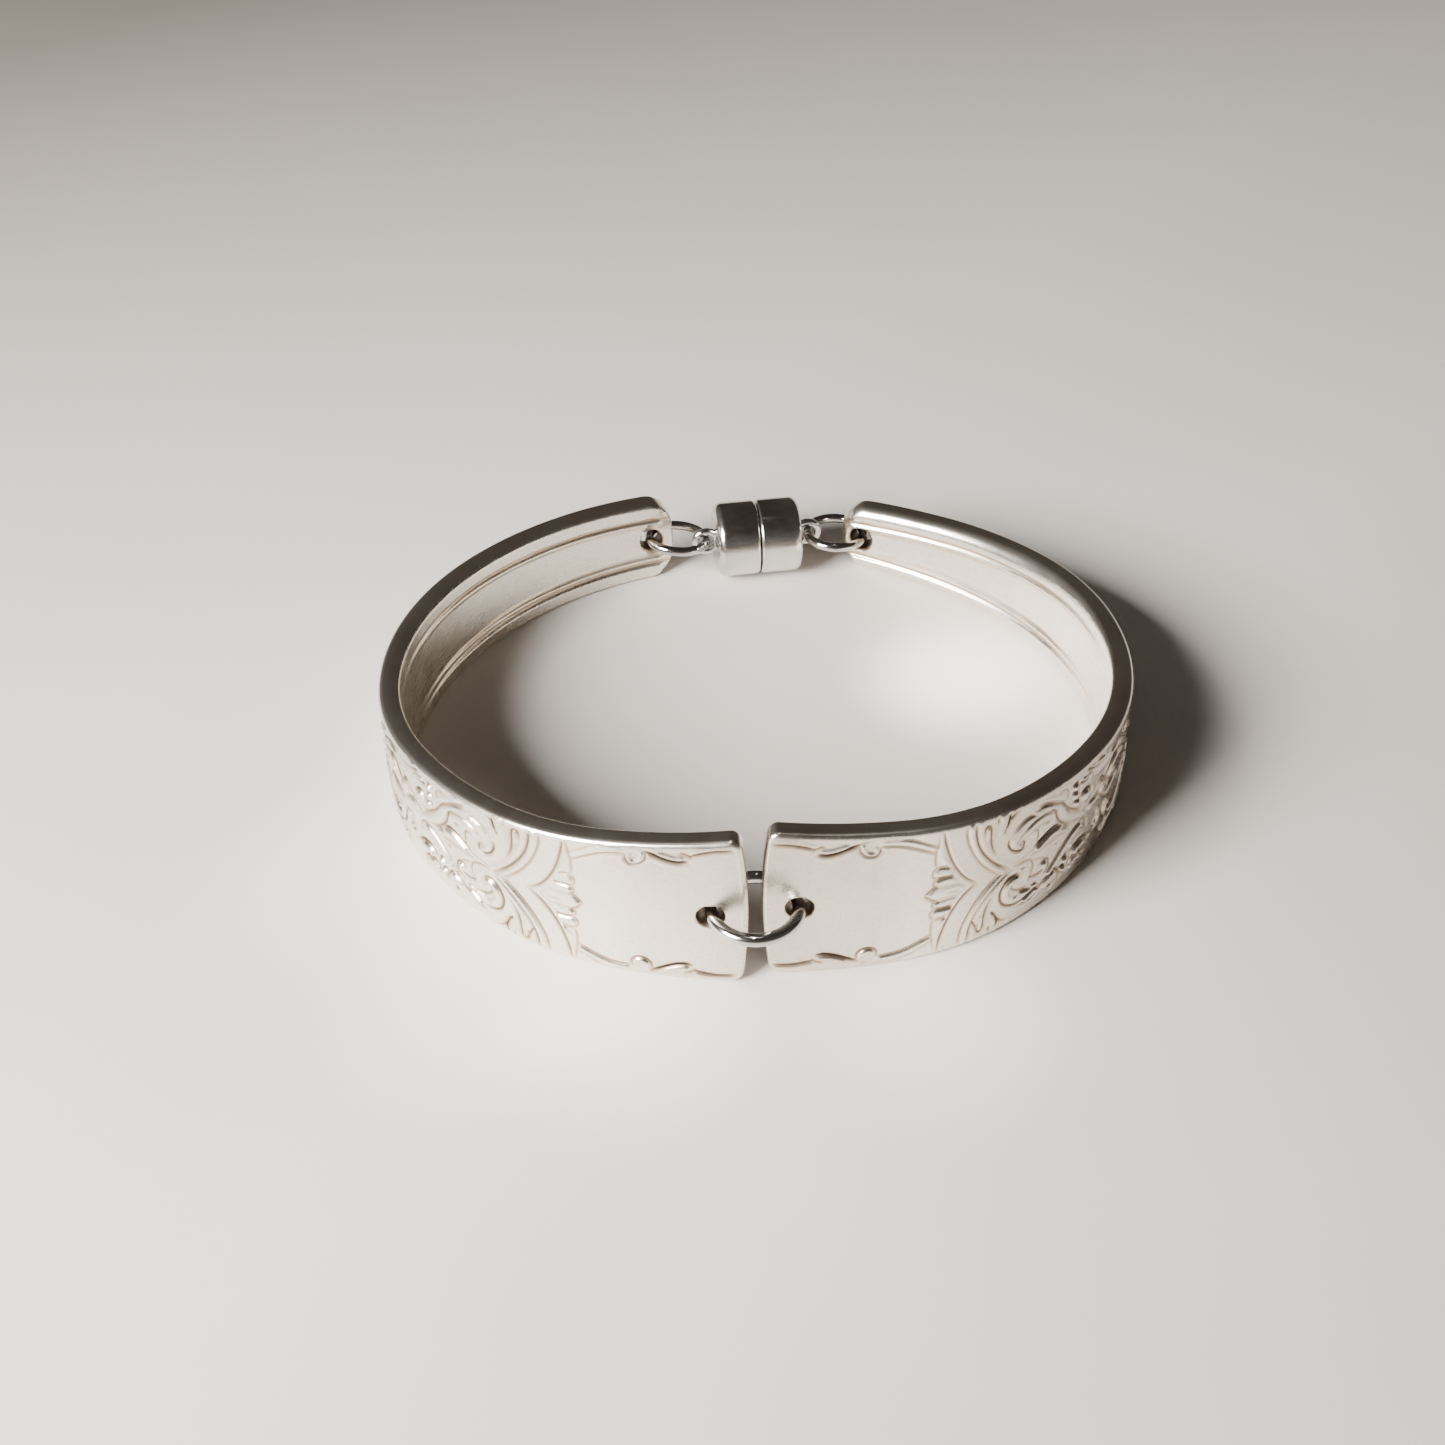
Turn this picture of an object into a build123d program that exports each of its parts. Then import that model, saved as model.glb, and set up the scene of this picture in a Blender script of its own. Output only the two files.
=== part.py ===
from build123d import *
from math import asin, atan2, cos, degrees, hypot, radians, sin
import os

os.makedirs("parts", exist_ok=True)

# A bracelet bent from two spoon handles. It lies on the handles' lower edges, on the plane Z = 0.
# +X is to the right of the front gap, +Y goes back to the clasp, +Z is up. Millimetres.

# Driving sizes of the two bars
BAR_LENGTH = 82.5
FRONT_HEIGHT = 14.5
MIDDLE_HEIGHT = 10.4
TIP_HEIGHT = {"right": 6.6, "left": 8.0}
FRONT_THICKNESS = 1.6
TIP_THICKNESS = 1.9
EDGE_ROUND = 0.35
FOOT_TRIM = 0.02

# Gap between the front ends, and how far each outer face lies in front of the front ring's centre
FRONT_GAP = 0.9
FRONT_STEP = {"right": 0.2, "left": 1.05}

# Degrees that each equal stretch of a bar turns, from the front end to the tip
TURNS = {
    "right": (12.5, 25.5, 20.0, 24.5, 21.5, 25.0, 17.5, 10.5),
    "left": (13.5, 24.5, 18.0, 27.0, 22.0, 22.0, 19.0, 19.0),
}
SIDES = {"right": 1, "left": -1}

# Shape of the bars' ends: how far the middle bulges and how round the corners are
FRONT_BULGE = 0.7
FRONT_CORNER = 1.4
TIP_BULGE = 0.6
TIP_CORNER = 2.2

# Holes for the rings: how far each centre is from the bar's end and below half its height, and the
# bevel round each mouth
FRONT_HOLE_R = 1.05
FRONT_HOLE_INSET = 2.8
FRONT_HOLE_DROP = 0.16
FRONT_HOLE_BEVEL = 0.12
TIP_HOLE_R = 1.05
TIP_HOLE_INSET = 2.25
TIP_HOLE_BEVEL = 0.3

# Double thread inside each bar, along both edges, from where it fades to the tip
THREAD_START = 0.5
THREAD_FADE = 0.5
THREAD_END_MARGIN = 1.4
THREAD_WIDTH = 0.7
THREAD_CREST = 0.35
THREAD_RISE = 0.28
THREAD_FADE_RISE = 0.08
THREAD_SINK = 0.2
THREAD_FROM_EDGE = (0.8, 1.8)
THREAD_SECTIONS = 7

# Round wire rings, by the middle of the wire
FRONT_RING_R = 3.2
FRONT_RING_WIRE = 1.0
REAR_RING_R = 2.65
REAR_RING_WIRE = 0.85
REAR_RING_TILT = {"right": 4.0, "left": 8.0}

# Magnetic barrel clasp and its wire eyes
CLASP_R = 3.45
CLASP_LENGTH = 7.9
CLASP_SEAM = 0.1
CLASP_RIM = 0.6
CLASP_TURN = 6.0
CLASP_LIFT = 0.1
EYE_R = 1.05
EYE_WIRE = 0.7
EYE_STANDOFF = 0.8

# Raised ornament on the outer faces: how high it stands, and how deep its roots and tools reach
RELIEF = 0.28
RELIEF_ROOT = 0.2
RELIEF_REACH = 1.6
SKIN_EDGE = 0.96
LINE_WIDTH = 0.59
BEAD_R = 0.42

# Raised lines of the ornament's upper half, mirrored below: share of the line width, then
# points as shares of the bar's length from the front end, and of half its height there
LINES = {
    "border leaf": (0.75, ((0.014, 0.90), (0.036, 0.87), (0.052, 0.81))),
    "border s leaf": (1.0, ((0.049, 0.88), (0.063, 0.79), (0.086, 0.87))),
    "border curl": (0.65, ((0.093, 0.89), (0.096, 0.78), (0.107, 0.75), (0.109, 0.84))),
    "border line": (0.75, ((0.111, 0.86), (0.137, 0.82), (0.159, 0.71))),
    "front bracket": (0.6, ((0.195, 0.93), (0.204, 0.49), (0.232, 0.03))),
    "rear bracket": (0.6, ((0.205, 0.93), (0.217, 0.45), (0.244, 0.06))),
    "bracket leaf": (1.0, ((0.222, 0.92), (0.227, 0.72), (0.238, 0.48))),
    "great scroll": (1.1, ((0.256, 0.26), (0.245, 0.46), (0.264, 0.68), (0.298, 0.59), (0.318, 0.26))),
    "middle leaf": (1.2, ((0.256, 0.07), (0.285, 0.11), (0.303, 0.17), (0.330, 0.08))),
    "ribbon": (1.2, ((0.288, 0.90), (0.322, 0.50), (0.356, 0.12))),
    "edge leaf": (1.3, ((0.350, 0.86), (0.375, 0.81), (0.398, 0.68))),
    "small scroll": (1.0, ((0.374, 0.19), (0.373, 0.44), (0.400, 0.64), (0.430, 0.46), (0.452, 0.15))),
    "last leaf": (1.2, ((0.430, 0.86), (0.465, 0.66), (0.492, 0.30))),
}

# Raised beads of the upper half: share of the bead's radius, then the same two shares
BEADS = ((1.0, 0.334, 0.74), (1.0, 0.337, 0.55), (1.0, 0.347, 0.38), (0.85, 0.262, 0.38))

# Palmette: apex towards the clasp, front tips of its lobes, and the points of its two long leaves
PALMETTE_APEX = (0.204, 0.0)
PALMETTE_WAIST = (0.178, 0.42)
PALMETTE_POINT = (0.166, 0.92)
PALMETTE_HOLLOW = 0.161
PALMETTE_LOBES = ((0.153, 0.0), (0.157, 0.18), (0.158, 0.32), (0.160, 0.44))

# Reach of cutting tools past what they cut, and their margin above and below a bar's edges
CUT = 2.0
END_MARGIN = 0.3


def bar_points(side, along):
    """Place and heading on a bar's outer face in plan, from its front end, before it is closed."""
    x, y, heading = 0.0, 0.0, 0.0
    step = BAR_LENGTH / len(TURNS[side])
    for number, turn in enumerate(TURNS[side]):
        bend = radians(turn) / step
        last = number == len(TURNS[side]) - 1
        run = along - number * step
        run = max(run if last else min(run, step), 0.0)
        after = heading + bend * run
        x += (sin(after) - sin(heading)) / bend
        y += (cos(heading) - cos(after)) / bend
        heading = after
    return x + FRONT_GAP / 2, y - FRONT_STEP[side], heading


def tip_hole_in_plan(side):
    x, y, heading = bar_points(side, BAR_LENGTH - TIP_HOLE_INSET)
    depth = thickness(BAR_LENGTH - TIP_HOLE_INSET) / 2
    return x - depth * sin(heading), y + depth * cos(heading)


def thickness(along):
    share = along / BAR_LENGTH
    return FRONT_THICKNESS + (TIP_THICKNESS - FRONT_THICKNESS) * share


def height(side, along):
    """Height of a bar, through its three driving heights."""
    share = along / BAR_LENGTH
    front = FRONT_HEIGHT * (1 - share) * (1 - 2 * share)
    middle = MIDDLE_HEIGHT * 4 * share * (1 - share)
    tip = TIP_HEIGHT[side] * share * (2 * share - 1)
    return front + middle + tip


# Half the way between the tip holes when the clasp is shut
HALF_SPAN = CLASP_LENGTH / 2 + EYE_STANDOFF + 2 * REAR_RING_R


def closing_turn(side):
    """Angle that a half swings on the front ring so that its tip hole meets the shut clasp's ring."""
    x, y = tip_hole_in_plan(side)
    return asin(HALF_SPAN / hypot(x, y)) - atan2(x, y)


def along_bar(side, along):
    """Point on a closed bar's outer face in plan, and the way it runs there."""
    x, y, heading = bar_points(side, along)
    swing = closing_turn(side)
    turned_x = x * cos(swing) + y * sin(swing)
    turned_y = y * cos(swing) - x * sin(swing)
    sign = SIDES[side]
    return Vector(sign * turned_x, turned_y, 0), Vector(sign * cos(heading - swing), sin(heading - swing), 0)


def inward(side, direction):
    """The way from the outer face to the inner one."""
    return Vector(-direction.Y, direction.X, 0) * SIDES[side]


def section_plane(side, along, depth, level):
    """Plane across the bar: its x runs inward, its normal runs along the bar."""
    point, direction = along_bar(side, along)
    into = inward(side, direction)
    return Plane(origin=point + into * depth + Vector(0, 0, level), x_dir=into, z_dir=direction)


def face_plane(side, along, depth=0.0, drop=0.0):
    """Plane on the bar, drop below half its height: its x runs along it, its normal points outward."""
    point, direction = along_bar(side, along)
    into = inward(side, direction)
    origin = point + into * depth + Vector(0, 0, height(side, along) / 2 - drop)
    return Plane(origin=origin, x_dir=direction, z_dir=into * -1)


def stations(start, end, count):
    return [start + (end - start) * number / (count - 1) for number in range(count)]


def bar_blank(side):
    """The bent bar, its lower edge trimmed to the flat foot that it lies on."""
    sections = []
    for along in stations(0, BAR_LENGTH, 2 * len(TURNS[side]) + 1):
        thick = thickness(along)
        tall = height(side, along)
        plane = section_plane(side, along, thick / 2, (tall - FOOT_TRIM) / 2)
        sections.append(plane * RectangleRounded(thick, tall + FOOT_TRIM, EDGE_ROUND))
    under = Box(2 * BAR_LENGTH, 2 * BAR_LENGTH, CUT, align=(Align.CENTER, Align.CENTER, Align.MAX))
    return loft(sections) - under


def end_waste(plane, half_height, bulge, corner):
    """What is cut off a bar's end: all outside a bowed end line with round corners. x runs into the bar."""
    edge = half_height + END_MARGIN
    reach = 2 * (bulge + corner)
    bow = ThreePointArc((bulge, -edge), (0, 0), (bulge, edge))
    rest = Polyline((bulge, edge), (2 * reach, edge), (2 * reach, -edge), (bulge, -edge))
    kept = make_face([bow, rest])
    kept = fillet(kept.vertices().sort_by(Axis.X)[:2], corner)
    block = Pos((reach - CUT) / 2, 0) * Rectangle(reach + CUT, 2 * (edge + CUT))
    return extrude(plane * (block - kept), CUT * 2, both=True)


def hole(side, along, radius, bevel, drop=0.0):
    """A drilled hole through the bar with a small bevel at both mouths."""
    half = thickness(along) / 2
    drill = Cylinder(radius, 2 * half + CUT)
    mouth = Pos(0, 0, half + CUT / 2 - bevel / 2) * Cone(radius, radius + bevel + CUT, bevel + CUT)
    return face_plane(side, along, half, drop) * (drill + mouth + Rot(180, 0, 0) * mouth)


def thread(side, from_edge, upper):
    """One raised line along the inner face, tapering to nothing towards the front."""
    sections = []
    end = BAR_LENGTH - THREAD_END_MARGIN
    for along in stations(THREAD_START * BAR_LENGTH, end, THREAD_SECTIONS):
        share = (along - THREAD_START * BAR_LENGTH) / (end - THREAD_START * BAR_LENGTH)
        rise = THREAD_FADE_RISE + (THREAD_RISE - THREAD_FADE_RISE) * min(1, share / THREAD_FADE)
        level = height(side, along) - from_edge if upper else from_edge
        base = THREAD_WIDTH / 2
        crest = THREAD_CREST / 2
        root = ((0, base), (-THREAD_SINK, base), (-THREAD_SINK, -base), (0, -base))
        outline = Polyline(*root, (rise, -crest), (rise, crest), close=True)
        sections.append(section_plane(side, along, thickness(along), level) * make_face(outline))
    return loft(sections)


def skin(side):
    """Thin layer on the outer face, where the ornament stands."""
    sections = []
    for along in stations(0, BAR_LENGTH, 2 * len(TURNS[side]) + 1):
        tall = height(side, along)
        plane = section_plane(side, along, (RELIEF_ROOT - RELIEF) / 2, tall / 2)
        sections.append(plane * Rectangle(RELIEF_ROOT + RELIEF, SKIN_EDGE * tall))
    return loft(sections)


def spot(side, along_share, level_share, middle_share, flip):
    """Place on the outer face's tangent plane at middle_share, from shares of length and half height."""
    along = (along_share - middle_share) * BAR_LENGTH
    return along, flip * level_share * height(side, along_share * BAR_LENGTH) / 2


def raised(side, middle_share, sketch):
    """Prism that stands on the outer face, square to it at middle_share."""
    return extrude(face_plane(side, middle_share * BAR_LENGTH) * sketch, RELIEF_REACH, both=True)


def palmette(side):
    """Outline of the shell behind the plain panel: bowed sides, and a lobe between each two hollows."""
    middle = PALMETTE_HOLLOW
    edges = []
    for flip in (1, -1):
        rear = (PALMETTE_APEX, PALMETTE_WAIST, PALMETTE_POINT)
        apex, waist, point = [spot(side, *place, middle, flip) for place in rear]
        edges.append(Spline(apex, waist, point))
        lobes = [spot(side, *place, middle, flip) for place in PALMETTE_LOBES]
        levels = [level for along, level in PALMETTE_LOBES]
        between = [(low + high) / 2 for low, high in zip(levels, levels[1:])]
        between.append(2 * levels[-1] - levels[-2])
        hollows = [spot(side, middle, level, middle, flip) for level in between]
        edges.append(Line(point, hollows[-1]))
        for start, tip, end in zip(hollows, lobes[1:], hollows[1:]):
            edges.append(ThreePointArc(start, tip, end))
    first = spot(side, middle, PALMETTE_LOBES[1][1] / 2, middle, 1)
    last = spot(side, middle, PALMETTE_LOBES[1][1] / 2, middle, -1)
    edges.append(ThreePointArc(first, spot(side, *PALMETTE_LOBES[0], middle, 1), last))
    return make_face(edges)


def ornament(side):
    """All raised work of one bar: mirrored lines and beads, and the palmette."""
    prisms = [raised(side, PALMETTE_HOLLOW, palmette(side))]
    for flip in (1, -1):
        for width, points in LINES.values():
            middle = (points[0][0] + points[-1][0]) / 2
            line = Spline([spot(side, *point, middle, flip) for point in points])
            prisms.append(raised(side, middle, trace(line, width * LINE_WIDTH)))
        for radius, along_share, level_share in BEADS:
            place = spot(side, along_share, level_share, along_share, flip)
            bead = Pos(*place) * Circle(radius * BEAD_R)
            prisms.append(raised(side, along_share, bead))
    layer = skin(side)
    return [layer & prism for prism in prisms]


def handle(side):
    """A spoon handle: bent bar with raised ornament, shaped ends, a hole at each end and threads inside."""
    bar = bar_blank(side)
    bar += ornament(side)
    for from_edge in THREAD_FROM_EDGE:
        for upper in (False, True):
            bar += thread(side, from_edge, upper)
    front = face_plane(side, 0)
    bar -= end_waste(front, FRONT_HEIGHT / 2, FRONT_BULGE, FRONT_CORNER)
    tip = face_plane(side, BAR_LENGTH)
    tip = Plane(origin=tip.origin, x_dir=tip.x_dir * -1, z_dir=tip.z_dir)
    bar -= end_waste(tip, TIP_HEIGHT[side] / 2, TIP_BULGE, TIP_CORNER)
    bar -= hole(side, FRONT_HOLE_INSET, FRONT_HOLE_R, FRONT_HOLE_BEVEL, FRONT_HOLE_DROP)
    bar -= hole(side, BAR_LENGTH - TIP_HOLE_INSET, TIP_HOLE_R, TIP_HOLE_BEVEL)
    return bar


def ring(centre, normal, radius, wire):
    return Plane(origin=centre, z_dir=normal) * Torus(radius, wire / 2)


def tip_hole(side):
    along = BAR_LENGTH - TIP_HOLE_INSET
    return face_plane(side, along, thickness(along) / 2).origin


def clasp_frame():
    """Middle of the clasp's seam, and the way its axis runs to the right."""
    across = tip_hole("right") - tip_hole("left")
    middle = (tip_hole("right") + tip_hole("left")) / 2
    turned = Vector(across.X, across.Y, 0).normalized().rotate(Axis.Z, CLASP_TURN)
    return Vector(middle.X, middle.Y, CLASP_R + CLASP_LIFT), turned


def eye_centre(side):
    seam, axis = clasp_frame()
    return seam + axis * SIDES[side] * (CLASP_LENGTH / 2 + EYE_STANDOFF)


def rear_ring(side):
    """Jump ring from the tip's hole to the clasp's eye, its near side a little raised."""
    start = tip_hole(side)
    end = eye_centre(side)
    line = (end - start).normalized()
    lateral = Vector(0, 0, 1).cross(line) * -SIDES[side]
    upright = line.cross(lateral) * -SIDES[side]
    tilt = radians(REAR_RING_TILT[side])
    normal = upright * cos(tilt) + lateral * sin(tilt)
    return ring((start + end) / 2, normal, REAR_RING_R, REAR_RING_WIRE)


def clasp_half(side):
    """One half of the barrel with its soldered wire eye, made along its axis and put in place."""
    seam, axis = clasp_frame()
    length = (CLASP_LENGTH - CLASP_SEAM) / 2
    outward = axis * SIDES[side]
    plane = Plane(origin=seam + outward * CLASP_SEAM / 2, x_dir=Vector(0, 0, 1), z_dir=outward)
    barrel = Cylinder(CLASP_R, length, align=(Align.CENTER, Align.CENTER, Align.MIN))
    barrel = fillet(barrel.edges().sort_by(Axis.Z)[-1], CLASP_RIM)
    eye = Pos(0, 0, length + EYE_STANDOFF) * Rot(90, 0, 0) * Torus(EYE_R, EYE_WIRE / 2)
    return plane * (barrel + eye)


hole_levels = [height(side, FRONT_HOLE_INSET) / 2 - FRONT_HOLE_DROP for side in SIDES]
front_ring_centre = Vector(0, 0, sum(hole_levels) / len(hole_levels))
pieces = {
    "left_handle": handle("left"),
    "right_handle": handle("right"),
    "front_ring": ring(front_ring_centre, Vector(0, 0, 1), FRONT_RING_R, FRONT_RING_WIRE),
    "left_rear_ring": rear_ring("left"),
    "right_rear_ring": rear_ring("right"),
    "left_clasp_half": clasp_half("left"),
    "right_clasp_half": clasp_half("right"),
}

# The origin is under the middle of the whole bracelet's box
boxes = [piece.bounding_box() for piece in pieces.values()]
middle_x = (min(box.min.X for box in boxes) + max(box.max.X for box in boxes)) / 2
middle_y = (min(box.min.Y for box in boxes) + max(box.max.Y for box in boxes)) / 2
home = Pos(-middle_x, -middle_y, 0)
for name, piece in pieces.items():
    export_step(home * piece, "parts/" + name + ".step")

for side in SIDES:
    print(side, "closes by", degrees(closing_turn(side)), "tip hole", (home * Pos(tip_hole(side))).position)
print("front ring's centre", (home * Pos(front_ring_centre)).position)
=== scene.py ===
"""The finished looks of a bracelet bent from two ornamented spoon handles, laid out as an add-on."""

from math import asin, atan2, cos, hypot, pi, radians, sin, tan

import bmesh
import bpy
import numpy as np
from mathutils import Matrix, Vector


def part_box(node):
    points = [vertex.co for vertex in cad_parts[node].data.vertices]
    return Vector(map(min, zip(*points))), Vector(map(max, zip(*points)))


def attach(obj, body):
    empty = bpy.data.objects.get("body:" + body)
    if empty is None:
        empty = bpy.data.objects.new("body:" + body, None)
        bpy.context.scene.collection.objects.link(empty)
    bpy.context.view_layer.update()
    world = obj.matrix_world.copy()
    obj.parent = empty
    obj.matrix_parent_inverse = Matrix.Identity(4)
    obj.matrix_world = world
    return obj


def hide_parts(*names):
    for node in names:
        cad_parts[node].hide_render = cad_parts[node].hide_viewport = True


bl_info = {
    "name": "Spoon Handle Bracelet",
    "version": (1, 0, 0),
    "blender": (4, 5, 0),
    "location": "3D View > Sidebar > Bracelet",
    "description": "Makes the handles, rings and clasp of a spoon handle bracelet",
    "category": "Add Mesh",
}

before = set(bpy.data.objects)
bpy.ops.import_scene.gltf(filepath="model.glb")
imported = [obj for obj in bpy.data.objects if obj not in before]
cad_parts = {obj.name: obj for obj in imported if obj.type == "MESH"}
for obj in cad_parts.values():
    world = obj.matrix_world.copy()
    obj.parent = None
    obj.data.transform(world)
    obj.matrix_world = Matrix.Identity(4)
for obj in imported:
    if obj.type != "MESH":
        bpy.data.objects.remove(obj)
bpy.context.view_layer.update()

MM = 0.001
SIDES = {"right": 1, "left": -1}

# Degrees that each equal stretch of a handle turns, from the front end to the tip
TURNS = {
    "right": (12.5, 25.5, 20.0, 24.5, 21.5, 25.0, 17.5, 10.5),
    "left": (13.5, 24.5, 18.0, 27.0, 22.0, 22.0, 19.0, 19.0),
}

# Columns along a handle: each stretch ends at the first number and steps by the second, in millimetres
COLUMN_STRETCHES = (
    (0.40, 0.08), (41.0, 0.11), (44.0, 0.25), (77.5, 0.55), (82.0, 0.15), (82.5, 0.08),
)

# Rows next to each long edge, in millimetres from it, and how many rows lie between the two borders
EDGE_ROWS = (0.0, 0.03, 0.09, 0.18, 0.30, 0.44, 0.60)
INNER_ROWS = 121

# Share of the half height outside which every second inner row is kept, and how many are skipped inside
KEPT_SHARE = 0.5
SKIPPED_ROWS = 6

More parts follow.
